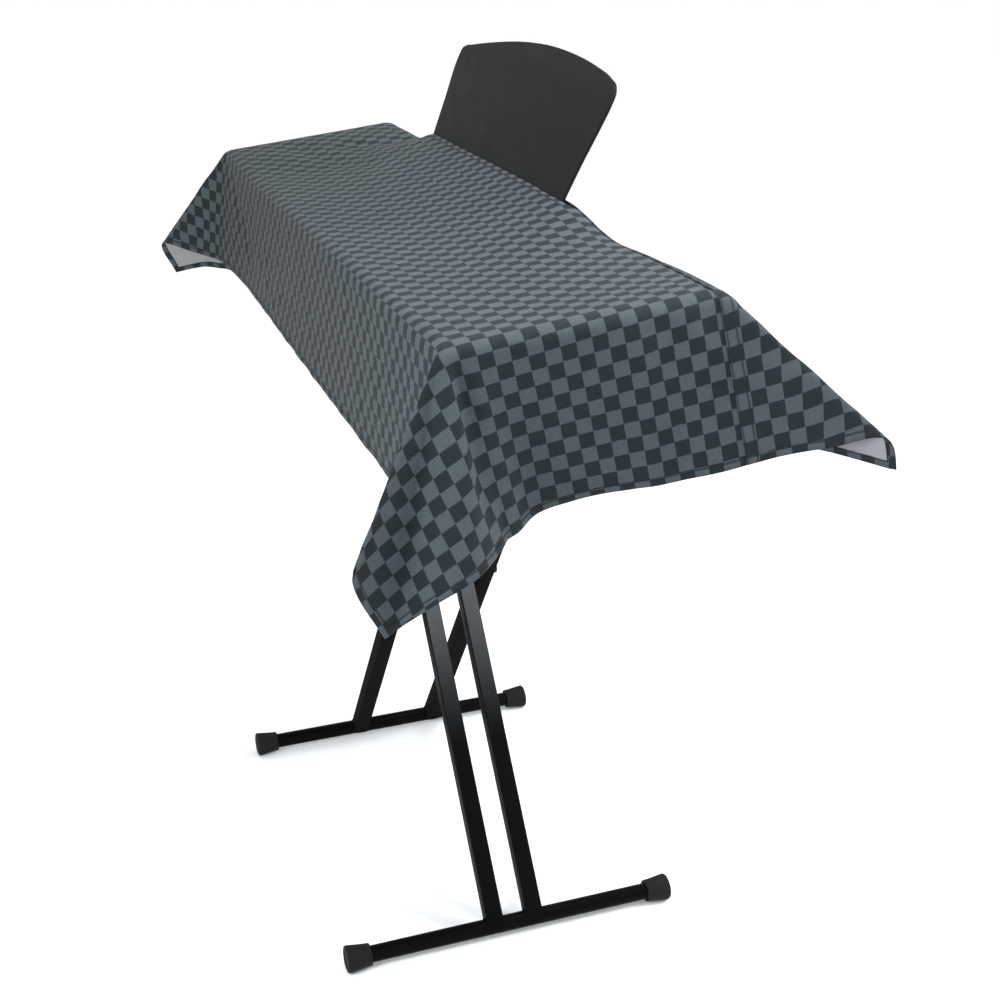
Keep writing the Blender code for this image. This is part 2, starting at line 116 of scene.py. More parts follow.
def ripple(a: Array, b: Array, length: float, seed: int, count: int = 5) -> Array:
    """Gentle unevenness: plane sine waves of about one length, each turned its own way, added up.

    Args:
        a: Places along the cloth.
        b: Places across the cloth.
        length: Wavelength in metres.
        seed: Which set of waves.
        count: Number of waves.

    Returns:
        Height between about -1 and 1.
    """
    waves = np.random.default_rng(seed)
    height = np.zeros_like(a)
    for _ in range(count):
        angle, phase = waves.uniform(0, math.tau, 2)
        stretch = waves.uniform(0.7, 1.5) * math.tau / length
        height = height + np.sin(stretch * (a * math.cos(angle) + b * math.sin(angle)) + phase)
    return height / (count / 2)


# ---------------------------------------------------------------------------------------------------------
# meshes


def grid_faces(rows: int, columns: int, wrap_rows: bool = False, wrap_columns: bool = False) -> Array:
    """Quads of a grid whose points are numbered row by row, counter-clockwise from rows to columns.

    Args:
        rows: Number of grid rows.
        columns: Number of points in a row.
        wrap_rows: Join the last row to the first.
        wrap_columns: Join the last column to the first.

    Returns:
        Faces, four point numbers each.
    """
    index = np.arange(rows * columns).reshape(rows, columns)
    if wrap_rows:
        index = np.vstack([index, index[:1]])
    if wrap_columns:
        index = np.hstack([index, index[:, :1]])
    corners = (index[:-1, :-1], index[1:, :-1], index[1:, 1:], index[:-1, 1:])
    return np.stack([c.ravel() for c in corners], axis=1)


def make_mesh(name: str, points: Array, faces: list | Array, materials: list[bpy.types.Material],
              uv: Array | None = None, slots: Array | None = None, groove: Array | None = None,
              smooth: bool = True) -> bpy.types.Object:
    """Mesh object at the origin with its place in its points.

    Args:
        name: Name of the piece.
        points: One row of x, y, z per point.
        faces: Point numbers of each face.
        materials: Materials of its slots.
        uv: Print coordinates of each point.
        slots: Material slot of each face.
        groove: Painted shade of each point, in stitch grooves and along folded edges, 0 to 1.
        smooth: Shade across edges.

    Returns:
        The object, linked to the scene.
    """
    mesh = bpy.data.meshes.new(name)
    mesh.from_pydata(points, [], faces)
    for material in materials:
        mesh.materials.append(material)
    mesh.polygons.foreach_set("use_smooth", np.full(len(mesh.polygons), smooth))
    if slots is not None:
        mesh.polygons.foreach_set("material_index", slots.astype(np.int32))
    if uv is not None:
        layer = mesh.uv_layers.new(name=UV_NAME)
        corner = np.empty(len(mesh.loops), np.int32)
        mesh.loops.foreach_get("vertex_index", corner)
        layer.data.foreach_set("uv", uv[corner].astype(np.float32).ravel())
    if groove is not None:
        mesh.attributes.new(GROOVE_SHADE, "FLOAT", "POINT").data.foreach_set("value", groove.astype(np.float32))
    mesh.update()
    item = bpy.data.objects.new(name, mesh)
    bpy.context.scene.collection.objects.link(item)
    return item


def keep_sharp(item: bpy.types.Object, degrees: float) -> None:
    """Shade smooth only across edges flatter than this angle."""
    item.data.set_sharp_from_angle(angle=math.radians(degrees))


def flip_if_inside_out(item: bpy.types.Object) -> None:
    """Turn a closed mesh's faces outwards if its signed volume is below 0."""
    mesh = item.data
    mesh.calc_loop_triangles()
    points = np.empty(len(mesh.vertices) * 3)
    mesh.vertices.foreach_get("co", points)
    corners = np.empty(len(mesh.loop_triangles) * 3, np.int32)
    mesh.loop_triangles.foreach_get("vertices", corners)
    p = points.reshape(-1, 3)[corners.reshape(-1, 3)]
    if (p[:, 0] * np.cross(p[:, 1], p[:, 2])).sum() < 0:
        mesh.flip_normals()


def turned(name: str, profile: Array, centre: Array, sides: int, material: bpy.types.Material,
           floor: bool = False) -> bpy.types.Object:
    """Closed body turned about an axis along Y: rings of the profile, capped at its first and last point.

    Args:
        name: Name of the piece.
        profile: Rows of distance along the axis and radius.
        centre: Where distance 0 lies.
        sides: Points in a ring.
        material: Its material.
        floor: Flatten what would reach below the floor.

    Returns:
        The body.
    """
    angle = (np.arange(sides) + 0.5) / sides * math.tau
    along, radius = profile[:, :1], profile[:, 1:]
    points = np.stack([radius * np.cos(angle), along + 0 * angle, radius * np.sin(angle)], axis=-1) + centre
    if floor:
        points[..., 2] = np.maximum(points[..., 2], 0.0)
    rows = len(profile)
    faces = grid_faces(rows, sides, wrap_columns=True).tolist()
    faces.append(list(range(sides)))
    faces.append(list(range((rows - 1) * sides, rows * sides))[::-1])
    item = make_mesh(name, points.reshape(-1, 3), faces, [material])
    flip_if_inside_out(item)
    keep_sharp(item, 42.0)
    return item


def show(item: bpy.types.Object, slot_name: str, *nodes: str) -> bpy.types.Object:
    """Let a piece ride on the body and stand for CAD nodes.

    Args:
        item: The piece.
        slot_name: Not used.
        *nodes: CAD nodes that it replaces.

    Returns:
        The same piece.
    """
    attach(item, "root")
    if nodes:
        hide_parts(*nodes)
    faces = len(item.data.polygons)
    LOG.info("%s: %d faces, stands for %s", item.name, faces, ", ".join(nodes) or "nothing")
    return item


# ---------------------------------------------------------------------------------------------------------
# finishes


class Recipe:
    """A Principled material under construction."""

    def __init__(self, name: str) -> None:
        """Start a material with only its Principled shader.

        Args:
            name: Name of the material.
        """
        self.material = bpy.data.materials.new(name)
        self.material.use_nodes = True
        self.tree = self.material.node_tree
        self.shader = self.tree.nodes["Principled BSDF"]

    def put(self, socket: bpy.types.NodeSocket, value: object) -> None:
        """Link an output to this input, or set the input's own value."""
        if isinstance(value, bpy.types.NodeSocket):
            self.tree.links.new(value, socket)
        else:
            socket.default_value = value

    def surface(self, **values: object) -> None:
        """Set the shader's inputs, named with underscores for spaces."""
        for name, value in values.items():
            self.put(self.shader.inputs[name.replace("_", " ")], value)

    def node(self, kind: str, **inputs: object) -> bpy.types.Node:
        """Add a node and fill its inputs.

        Args:
            kind: Blender's node type without its ShaderNode prefix.
            **inputs: Values or sockets for the inputs of these names.

        Returns:
            The node.
        """
        made = self.tree.nodes.new("ShaderNode" + kind)
        for name, value in inputs.items():
            self.put(made.inputs[name.replace("_", " ")], value)
        return made

    def math(self, operation: str, *values: object) -> bpy.types.NodeSocket:
        """Arithmetic on one to three values or sockets.

        Args:
            operation: Blender's name for it.
            *values: What it works on.

        Returns:
            Its result.
        """
        made = self.tree.nodes.new("ShaderNodeMath")
        made.operation = operation
        for place, value in enumerate(values):
            self.put(made.inputs[place], value)
        return made.outputs[0]

    def object_point(self) -> bpy.types.NodeSocket:
        """Object coordinates, in metres."""
        return self.node("TexCoord").outputs["Object"]

    def scaled(self, point: bpy.types.NodeSocket, scale: tuple[float, float, float]) -> bpy.types.NodeSocket:
        """Coordinates multiplied axis by axis.

        Args:
            point: Coordinates.
            scale: Factor for each axis.

        Returns:
            The scaled coordinates.
        """
        made = self.tree.nodes.new("ShaderNodeVectorMath")
        made.operation = "MULTIPLY"
        self.put(made.inputs[0], point)
        made.inputs[1].default_value = scale
        return made.outputs[0]

    def noise(self, point: bpy.types.NodeSocket, scale: float, detail: float = 2.0) -> bpy.types.NodeSocket:
        """Noise from 0 to 1, centred on one half.

        Args:
            point: Coordinates it reads.
            scale: Cells per metre.
            detail: Octaves.

        Returns:
            The noise.
        """
        made = self.node("TexNoise", Vector=point, Scale=scale, Detail=detail)
        made.normalize = True
        return made.outputs["Fac"]

    def blend(self, share: object, first: object, second: object, kind: str = "MIX") -> bpy.types.NodeSocket:
        """Mix two colours.

        Args:
            share: How much of the second.
            first: First colour.
            second: Second colour.
            kind: Blender's blend type.

        Returns:
            The mixed colour.
        """
        made = self.tree.nodes.new("ShaderNodeMix")
        made.data_type = "RGBA"
        made.blend_type = kind
        for place, value in ((0, share), (6, first), (7, second)):
            if isinstance(value, tuple):
                value = (*value, 1.0)
            self.put(made.inputs[place], value)
        return made.outputs[2]

    def span(self, value: object, low: float, high: float, smooth: bool = False) -> bpy.types.NodeSocket:
        """Map values from low to high onto 0 to 1, clipped.

        Args:
            value: The input.
            low: What becomes 0.
            high: What becomes 1.
            smooth: Ease in and out.

        Returns:
            The mapped value.
        """
        made = self.node("MapRange", Value=value)
        made.interpolation_type = "SMOOTHSTEP" if smooth else "LINEAR"
        made.inputs["From Min"].default_value = low
        made.inputs["From Max"].default_value = high
        return made.outputs[0]

    def tone(self, colour: object, amount: bpy.types.NodeSocket, spread: float) -> bpy.types.NodeSocket:
        """Lighten and darken a colour by noise.

        Args:
            colour: Colour or socket.
            amount: Noise from 0 to 1.
            spread: Full swing of the factor, around 1.

        Returns:
            The toned colour.
        """
        factor = self.math("MULTIPLY_ADD", amount, spread, 1.0 - spread / 2)
        grey = self.node("CombineColor", Red=factor, Green=factor, Blue=factor).outputs[0]
        return self.blend(1.0, colour, grey, "MULTIPLY")

    def relief(self, height: object, depth: float, strength: float = 1.0) -> None:
        """Bump the shader's normal.

        Args:
            height: Height from 0 to 1.
            depth: What a height of 1 stands for, in metres.
            strength: How much of it shows.
        """
        made = self.node("Bump", Height=height, Distance=depth, Strength=strength)
        self.put(self.shader.inputs["Normal"], made.outputs[0])


@dataclass(frozen=True)
class Canvas:
    """Plain-weave canvas: thread speckle, weave relief and a slight bloom.

    Yarn streaks, specks and clouds are given in cells per metre. Fray is how far the threads break the edge
    of a check, and soft is the height of the wave over which a check changes tone.
    """

    name: str
    light: Colour
    dark: Colour
    check: float = 0.0197
    thread: float = 0.0011
    printed: bool = True
    streaks: tuple[float, float] = (230.0, 1500.0)
    specks: float = 420.0
    clouds: float = 9.0
    fray: float = 0.0012
    soft: float = 0.09
    # colour of the painted shade in stitch grooves and along folded edges
    sewn: Colour = (0.006, 0.008, 0.010)
    depth: float = 0.00022

    def build(self) -> bpy.types.Material:
        """Checks from the signs of sin(pi u / check) and sin(pi v / check), edges broken by the threads.

        A dark square is where both waves are up or both are down. The groove attribute paints shade on
        stitch lines and folded edges.
        The weave's relief is the product of a sine along the warp and one along the weft.

        Returns:
            The material.
        """
        recipe = Recipe(self.name)
        place = recipe.node("UVMap")
        place.uv_map = UV_NAME
        flat = place.outputs[0]
        warp = recipe.noise(recipe.scaled(flat, (*self.streaks, 1.0)), 1.0, 1.0)
        weft = recipe.noise(recipe.scaled(flat, (*self.streaks[::-1], 1.0)), 1.0, 1.0)
        grain = recipe.math("MULTIPLY", recipe.math("ADD", warp, weft), 0.5)
        speckle = recipe.noise(flat, self.specks, 2.0)
        axes = recipe.node("SeparateXYZ", Vector=flat).outputs
        waves = []
        for axis in (0, 1):
            shifted = recipe.math("MULTIPLY_ADD", speckle, self.fray, axes[axis])
            wave = recipe.math("SINE", recipe.math("MULTIPLY", shifted, math.pi / self.check))
            waves.append(recipe.span(wave, -self.soft, self.soft, True))
        square = recipe.math("ABSOLUTE", recipe.math("SUBTRACT", waves[0], waves[1]))
        tone = recipe.blend(square, self.dark, self.light) if self.printed else self.light
        tone = recipe.tone(tone, grain, 0.75)
        tone = recipe.tone(tone, speckle, 0.60)
        tone = recipe.tone(tone, recipe.noise(flat, self.clouds, 3.0), 0.14)
        # painted shade: stitch grooves and folded edges darkened towards the sewn colour
        groove = recipe.node("Attribute")
        groove.attribute_name = GROOVE_SHADE
        tone = recipe.blend(groove.outputs["Fac"], tone, self.sewn)
        turn = math.tau / self.thread
        over = recipe.math("SINE", recipe.math("MULTIPLY", axes[0], turn))
        under = recipe.math("SINE", recipe.math("MULTIPLY", axes[1], turn))
        weave = recipe.math("MULTIPLY_ADD", recipe.math("MULTIPLY", over, under), 0.5, 0.5)
        recipe.relief(recipe.math("MULTIPLY_ADD", grain, 0.8, weave), self.depth, 0.8)
        recipe.surface(Base_Color=tone, Roughness=0.62, Sheen_Weight=0.02, Sheen_Roughness=0.4,
                       Specular_IOR_Level=0.10)
        return recipe.material


@dataclass(frozen=True)
class Thread:
    """Twisted sewing thread."""

    name: str
    colour: Colour

    def build(self) -> bpy.types.Material:
        """Fine twist as noise on object coordinates, drawn out upwards.

        Returns:
            The material.
        """
        recipe = Recipe(self.name)
        point = recipe.object_point()
        twist = recipe.noise(recipe.scaled(point, (2400.0, 2400.0, 900.0)), 1.0, 1.0)
        recipe.relief(twist, 0.0001)
        recipe.surface(Base_Color=recipe.tone(self.colour, twist, 0.8), Roughness=0.6)
        return recipe.material


@dataclass(frozen=True)
class Paint:
    """Satin paint on steel tube: fine orange peel, patches of dust, and a painted highlight on faces that
    look up.

    The painted highlight, for light falling on the legs' upper part, starts at its low height above the
    floor and is full at its high one, on faces whose normal rises by more than the second of the tilt pair.
    Peel and patches are given in cells per metre.
    """

    name: str
    colour: Colour
    roughness: float = 0.34
    specular: float = 0.08
    painted_highlight: Colour = (0.36, 0.38, 0.40)
    painted_highlight_share: float = 0.0
    painted_highlight_low: float = 0.26
    painted_highlight_high: float = 0.80
    painted_highlight_tilt: tuple[float, float] = (0.35, 0.55)
    painted_highlight_power: float = 1.6
    peel: float = 900.0
    peel_depth: float = 0.00006
    patches: float = 14.0
    ior: float = 1.15

    def build(self) -> bpy.types.Material:
        """Noise on object coordinates for the peel and the patches; the painted highlight as a power of the
        height.

        Returns:
            The material.
        """
        recipe = Recipe(self.name)
        point = recipe.object_point()
        peel = recipe.noise(point, self.peel, 2.0)
        patch = recipe.noise(point, self.patches, 4.0)
        recipe.relief(peel, self.peel_depth, 0.6)
        tone = recipe.tone(recipe.tone(self.colour, patch, 0.7), peel, 0.3)
        # painted highlight: upper, upward-facing faces are lightened for the light that falls on them
        if self.painted_highlight_share:
            height = recipe.node("SeparateXYZ", Vector=point).outputs[2]
            normal = recipe.node("NewGeometry").outputs["Normal"]
            rise = recipe.node("SeparateXYZ", Vector=normal).outputs[2]
            upward = recipe.span(rise, *self.painted_highlight_tilt, True)
            share = recipe.math("MULTIPLY", recipe.span(height, self.painted_highlight_low, self.painted_highlight_high), upward)
            share = recipe.math("MULTIPLY", recipe.math("POWER", share, self.painted_highlight_power), self.painted_highlight_share)
            share = recipe.math("MULTIPLY", share, recipe.math("MULTIPLY_ADD", patch, 0.5, 0.75))
            tone = recipe.blend(share, tone, self.painted_highlight)
        recipe.surface(
            Base_Color=tone,
            Roughness=recipe.math("MULTIPLY_ADD", patch, 0.22, self.roughness - 0.11),
            Specular_IOR_Level=self.specular, IOR=self.ior)
        return recipe.material


@dataclass(frozen=True)
class Moulded:
    """Moulded rubber or plastic with a spark-eroded grain and scuffs."""

    name: str
    colour: Colour
    roughness: float
    grain: float = 1400.0
    depth: float = 0.00008
    scuff: float = 0.5
    specular: float = 0.4

    def build(self) -> bpy.types.Material:
        """Noise on object coordinates: fine for the grain, broad for scuffs.

        Returns:
            The material.
        """
        recipe = Recipe(self.name)
        point = recipe.object_point()
        fine = recipe.noise(point, self.grain, 2.0)
        broad = recipe.noise(point, 35.0, 5.0)
        recipe.relief(fine, self.depth, 0.7)
        recipe.surface(
            Base_Color=recipe.tone(recipe.tone(self.colour, broad, self.scuff), fine, 0.25),
            Roughness=recipe.math("MULTIPLY_ADD", broad, 0.18, self.roughness - 0.09),
            Specular_IOR_Level=self.specular)
        return recipe.material


@dataclass(frozen=True)
class Plated:
    """Blackened steel with fine turning marks round the Y axis."""

    name: str
    colour: Colour

    def build(self) -> bpy.types.Material:
        """Rings as noise drawn thin along Y.

        Returns:
            The material.
        """
        recipe = Recipe(self.name)
        rings = recipe.noise(recipe.scaled(recipe.object_point(), (60.0, 3000.0, 60.0)), 1.0, 1.0)
        recipe.relief(rings, 0.00003, 0.5)
        recipe.surface(Base_Color=recipe.tone(self.colour, rings, 0.3), Metallic=1.0,
                       Roughness=recipe.math("MULTIPLY_ADD", rings, 0.2, 0.22))
        return recipe.material


@dataclass(frozen=True)
class Ground:
    """Pale studio floor."""

    name: str = "studio_floor"
    colour: Colour = (0.97, 0.97, 0.97)

    def build(self) -> bpy.types.Material:
        """A barely mottled matt white.

        Returns:
            The material.
        """
        recipe = Recipe(self.name)
        mottle = recipe.noise(recipe.object_point(), 3.0, 2.0)
        recipe.surface(Base_Color=recipe.tone(self.colour, mottle, 0.01), Roughness=0.9)
        return recipe.material


# ---------------------------------------------------------------------------------------------------------
# the cloth's form


class Side(Enum):
    """Sides and corners of the piano's top, in the order in which the skirt goes round it."""

    NEAR = "near"
    NEAR_BACK = "near_back"
    BACK = "back"
    FAR_BACK = "far_back"
    FAR = "far"
    FAR_FRONT = "far_front"
    FRONT = "front"
    NEAR_FRONT = "near_front"


CORNERS = (Side.NEAR_BACK, Side.FAR_BACK, Side.FAR_FRONT, Side.NEAR_FRONT)


@dataclass(frozen=True)
class Fall:
    """Which way the skirt falls at one place: a side, the place along it, and the lean off straight down."""

    side: Side
    along: float | None
    lean_x: float
    lean_y: float


@dataclass(frozen=True)
class Crease:
    """A soft ridge, or a trough where height is below 0, from a0, b0 to a1, b1 on the flat cloth."""

    a0: float
    b0: float
    a1: float
    b1: float
    width: float
    height: float
    over: float = 0.05
    fade: float = 0.25

    def lift(self, a: Array, b: Array) -> Array:
        """Height exp(-(distance / width)^2), eased out over a share of the length at both ends.

        Args:
            a: Places along the cloth.
            b: Places across the cloth.

        Returns:
            Height in metres.
        """
        run = np.array([self.a1 - self.a0, self.b1 - self.b0])
        length = float(np.hypot(*run))
        along = ((a - self.a0) * run[0] + (b - self.b0) * run[1]) / length**2
        aside = ((a - self.a0) * run[1] - (b - self.b0) * run[0]) / length
        ends = ease(-self.over, self.fade, along) * ease(-self.over, self.fade, 1.0 - along)
        return self.height * ends * np.exp(-((aside / self.width) ** 2))


# how the skirt leans off straight down, along and across the piano, in the order in which it goes round;
# on a side each lean comes after its place along that side
FALL_TABLE: dict[Side, tuple[tuple[float, ...], ...]] = {
    Side.NEAR: ((-0.145, 0.06, 0.26), (-0.105, -0.06, 0.24), (-0.050, -0.04, 0.24),
                (0.030, 0.06, 0.20), (0.100, 0.17, 0.155), (0.165, 0.275, 0.10)),
    Side.NEAR_BACK: ((0.38, 0.24), (0.51, 0.40), (0.56, 0.57), (0.49, 0.54), (0.24, 0.38), (0.04, 0.21)),
    Side.BACK: ((0.550, 0.00, 0.10), (0.300, 0.00, 0.14), (0.000, 0.00, 0.08), (-0.300, 0.00, 0.13),
                (-0.550, 0.00, 0.09)),
    Side.FAR_BACK: ((-0.14, 0.30), (-0.44, 0.50), (-0.54, 0.30), (-0.30, 0.06)),
    Side.FAR: ((0.120, -0.12, 0.02), (0.000, -0.06, 0.06), (-0.120, 0.03, 0.09)),
    Side.FAR_FRONT: ((-0.34, -0.05), (-0.50, -0.15), (-0.54, -0.27), (-0.55, -0.41), (-0.37, -0.25),
                     (-0.17, -0.12)),
    Side.FRONT: ((-0.630, -0.08, -0.09), (-0.500, 0.00, -0.04), (-0.380, 0.00, -0.04),
                 (-0.200, 0.00, -0.05), (0.000, 0.00, -0.05), (0.250, 0.00, -0.04),
                 (0.500, 0.04, -0.045), (0.620, 0.02, -0.07)),
    Side.NEAR_FRONT: ((0.12, -0.34), (0.28, -0.48), (0.19, -0.23), (0.29, -0.14), (0.31, 0.01),
                      (0.17, 0.18)),
}
FALLS = tuple(Fall(side, None if side in CORNERS else row[0], *row[-2:])
              for side, rows in FALL_TABLE.items() for row in rows)

# place across the cloth, drop of the skirt at the near end there
NEAR_DROP = np.array([(-0.40, 0.266), (-0.13, 0.259), (-0.04, 0.244), (0.06, 0.237), (0.16, 0.231),
                      (0.25, 0.224), (0.41, 0.231)])
# place along the cloth, drop of the skirt at the front there
FRONT_DROP = np.array([(-0.92, 0.240), (-0.60, 0.225), (0.60, 0.247), (0.70, 0.247), (0.92, 0.245)])

CREASES = (
    Crease(0.675, -0.148, 0.890, -0.190, 0.014, -0.0085),
    Crease(0.715, -0.215, 0.880, -0.375, 0.024, 0.0022),
    Crease(0.670, 0.082, 0.930, 0.056, 0.020, 0.0040),
    Crease(0.690, 0.105, 0.930, 0.110, 0.018, -0.0025),
    Crease(0.680, 0.130, 0.765, 0.185, 0.013, 0.0028),
    Crease(0.720, -0.080, 0.930, -0.050, 0.030, 0.0016),
    Crease(-0.670, -0.170, -0.400, -0.330, 0.018, -0.0045),
    Crease(-0.430, -0.272, -0.190, -0.372, 0.009, 0.0020),
    Crease(-0.400, -0.245, -0.150, -0.340, 0.009, 0.0015),
    Crease(-0.640, -0.070, -0.340, 0.035, 0.026, -0.0035),
    Crease(-0.600, 0.060, -0.280, 0.028, 0.020, -0.0025),
    Crease(-0.560, 0.000, -0.500, 0.160, 0.022, -0.0035),
)


@dataclass
class Drape:
    """The form of the whole cover: the cloth that lies on top, the ramp up to the rest, and the skirt.

    A pair of places is where a change along the cloth starts and where it is complete.
    """

    length: float = 1.318
    depth: float = 0.310
    middle_x: float = -0.004
    middle_y: float = -0.031
    front_z: float = 1.109
    back_z: float = 1.140
    bend_end: float = 0.030
    bend_front: float = 0.024
    bend_back: float = 0.060
    far_drop: float = 0.256
    back_drop: float = 0.250
    ramp_rise: float = 0.0265
    ramp_start: float = 0.140
    ramp_run: float = 0.185
    ramp_power: float = 1.6
    ramp_grows: tuple[float, float] = (-0.52, -0.41)
    ramp_fades: tuple[float, float] = (0.19, 0.39)
    ramp_skew: float = 0.5
    ramp_foot: float = 0.330
    valley: float = 0.004
    valley_width: float = 0.200
    slit_left: float = -0.446
    slit_right: float = 0.229
    slit_end: float = 0.020
    slit_push: float = 0.014
    push_grows: float = 0.11
    push_fades: float = 0.25
    back_shift: float = 0.024
    shift_end: float = 0.60
    far_lift: float = 0.012
    far_back_lift: float = 0.002
    far_run: float = 0.26
    far_pull: float = 0.014
    free_run: float = 0.06
    turn_run: tuple[float, float] = (0.012, 0.100)
    turn_thin: float = 0.12
    falls: tuple[Fall, ...] = FALLS
    creases: tuple[Crease, ...] = CREASES
    start: dict[Side, float] = field(default_factory=dict)

    def __post_init__(self) -> None:
        """Lay the table of falls out round the top; a corner's rows are spaced by the angle they turn."""
        lengths = {Side.NEAR: self.depth + self.back_shift, Side.BACK: self.length, Side.FAR: self.depth,
                   Side.FRONT: self.length}
        position = 0.0
        for side in Side:
            self.start[side] = position
            position += lengths.get(side, 1.0)
        lean = np.array([(row.lean_x, row.lean_y) for row in self.falls])
        aim = np.column_stack([lean, -np.sqrt(1.0 - (lean**2).sum(axis=1))])
        place = np.array([self.station_on(row.side, row.along) for row in self.falls])
        for corner in CORNERS:
            inside = [i for i, row in enumerate(self.falls) if row.side is corner]
            chain = aim[[inside[0] - 1, *inside, (inside[-1] + 1) % len(self.falls)]]
            turn = np.arccos(np.clip((chain[:-1] * chain[1:]).sum(axis=1), -1.0, 1.0)).cumsum()
            place[inside] = self.start[corner] + turn[:-1] / turn[-1]
        order = np.argsort(place)
        place, aim = place[order], aim[order]
        self.places = np.concatenate([[place[-1] - position], place, [place[0] + position]])
        self.aims = np.vstack([aim[-1:], aim, aim[:1]])

    def station_on(self, side: Side, along: float | None) -> float:
        """Distance round the outline of a place on a side.

        Args:
            side: A side, or a corner, whose rows are placed later.
            along: Place along the side, from its middle.

        Returns:
            The distance, 0 for a corner.
        """
        if along is None:
            return 0.0
        offset = {Side.NEAR: along + self.depth / 2, Side.BACK: self.length / 2 - along,
                  Side.FAR: self.depth / 2 - along, Side.FRONT: along + self.length / 2}
        return self.start[side] + offset[side]

    def slit_zone(self, a: Array) -> Array:
        """1 along the slit for the music rest, 0 where the panels are sewn together."""
        left = ease(self.slit_left - self.slit_end, self.slit_left, a)
        return left * (1.0 - ease(self.slit_right, self.slit_right + self.slit_end, a))

    def back_edge(self, a: Array) -> Array:
        """Where the cloth turns over the back edge."""
        pushed = self.slit_push * ease(self.slit_left - self.push_grows, self.slit_left, a)
        pushed = pushed * (1.0 - ease(self.slit_right - self.push_fades, self.slit_right, a))
        pulled = self.far_pull * (1.0 - ease(-self.length / 2, self.slit_left - self.slit_end, a))
        widened = self.back_shift * ease(self.slit_right, self.shift_end, a)
        return self.depth / 2 + pushed - pulled + widened

    def near_drop(self, b: Array) -> Array:
        """Drop of the skirt at the near end."""
        return through(NEAR_DROP[:, 0], NEAR_DROP[:, 1], b)

    def front_drop(self, a: Array) -> Array:
        """Drop of the skirt at the front."""
        return through(FRONT_DROP[:, 0], FRONT_DROP[:, 1], a)

    def lying(self, a: Array, b: Array) -> Array:
        """The top: a sloping plane with a shallow valley and a ramp, a power of the way to the rest.

        Args:
            a: Places along the cloth, on the top.
            b: Places across the cloth, on the top.

        Returns:
            Points.
        """
        x = a + self.middle_x
        across = b + self.depth / 2
        z = self.front_z + (self.back_z - self.front_z) * across / self.depth
        slant = x - self.ramp_skew * (self.ramp_foot - across)
        lifted = ease(*self.ramp_grows, x) * (1.0 - ease(*self.ramp_fades, slant))
        way = np.clip((across - self.ramp_start) / self.ramp_run, 0.0, None)
        ramp = self.ramp_rise * way**self.ramp_power
        dip = self.valley * np.sin(np.pi * np.clip(across / self.valley_width, 0.0, 1.0)) ** 2
        far = 1.0 - ease(-self.length / 2, -self.length / 2 + self.far_run, a)
        z = z + far * (self.far_lift + self.far_back_lift * across / self.depth)
        return np.stack([x, self.middle_y + b, z + lifted * (ramp - dip)], axis=-1) - ORIGIN

    def station(self, u: Array, v: Array, edge_a: Array, edge_b: Array) -> Array:
        """Distance round the outline at which the skirt leaves the top; a corner's 90 degrees count 1.

        Args:
            u: How far past the near (above 0) or far edge the place is.
            v: How far past the back (above 0) or front edge it is.
            edge_a: Nearest place of the top along the cloth.
            edge_b: Nearest place of the top across the cloth.

        Returns:
            The distance.
        """
        turn = np.arctan2(np.abs(v), np.abs(u)) / (np.pi / 2)
        at = self.start
        half_length, half_depth = self.length / 2, self.depth / 2
        return np.select(
            [(u > 0) & (v == 0), (u < 0) & (v == 0), (u == 0) & (v < 0), (u == 0) & (v > 0),
             (u > 0) & (v > 0), (u < 0) & (v > 0), (u < 0) & (v < 0), (u > 0) & (v < 0)],
            [at[Side.NEAR] + edge_b + half_depth, at[Side.FAR] + half_depth - edge_b,
             at[Side.FRONT] + edge_a + half_length, at[Side.BACK] + half_length - edge_a,
             at[Side.NEAR_BACK] + turn, at[Side.FAR_BACK] + 1.0 - turn,
             at[Side.FAR_FRONT] + turn, at[Side.NEAR_FRONT] + 1.0 - turn],
            0.0)

    def smooth_form(self, a: Array, b: Array) -> Array:
        """The drape without creases.

        Past an edge the cloth follows a circular arc that leaves the top level with it and ends along the
        fall, then goes straight down the fall. Past a corner every line from the corner does the same.

        Args:
            a: Places along the cloth.
            b: Places across the cloth.

        Returns:
            Points of its upper face.
        """
        edge_a = np.clip(a, -self.length / 2, self.length / 2)
        edge_b = np.clip(b, -self.depth / 2, self.back_edge(edge_a))
        u, v = a - edge_a, b - edge_b
        reach = np.hypot(u, v)
        fall = unit(through(self.places, self.aims, self.station(u, v, edge_a, edge_b)))
        step = 1e-4
        along_a = (self.lying(edge_a + step, edge_b) - self.lying(edge_a - step, edge_b)) / (2 * step)
        along_b = (self.lying(edge_a, edge_b + step) - self.lying(edge_a, edge_b - step)) / (2 * step)
        outward = unit(u[..., None] * along_a + v[..., None] * along_b)
        share = (u / np.maximum(reach, 1e-12)) ** 2
        bend_side = np.where(v > 0, self.bend_back, self.bend_front)
        bend = (share * self.bend_end + (1 - share) * bend_side)[..., None]
        angle = np.arccos(np.clip((outward * fall).sum(axis=-1, keepdims=True), -0.999, 0.999))
        part = np.clip(reach[..., None] / bend, 0.0, 1.0)
        arc = (np.cos((1 - part) * angle) - np.cos(angle)) * outward + (1 - np.cos(part * angle)) * fall
        bent = bend / (angle * np.sin(angle)) * arc + np.clip(reach[..., None] - bend, 0.0, None) * fall
        return self.lying(edge_a, edge_b) + np.where(reach[..., None] > 0, bent, 0.0)

    def smooth_normal(self, a: Array, b: Array) -> Array:
        """Unit normal of the smooth form, up and outwards, from small steps both ways."""
        step = 0.0015
        tangent_a = self.smooth_form(a + step, b) - self.smooth_form(a - step, b)
        tangent_b = self.smooth_form(a, b + step) - self.smooth_form(a, b - step)
        return unit(np.cross(tangent_a, tangent_b))

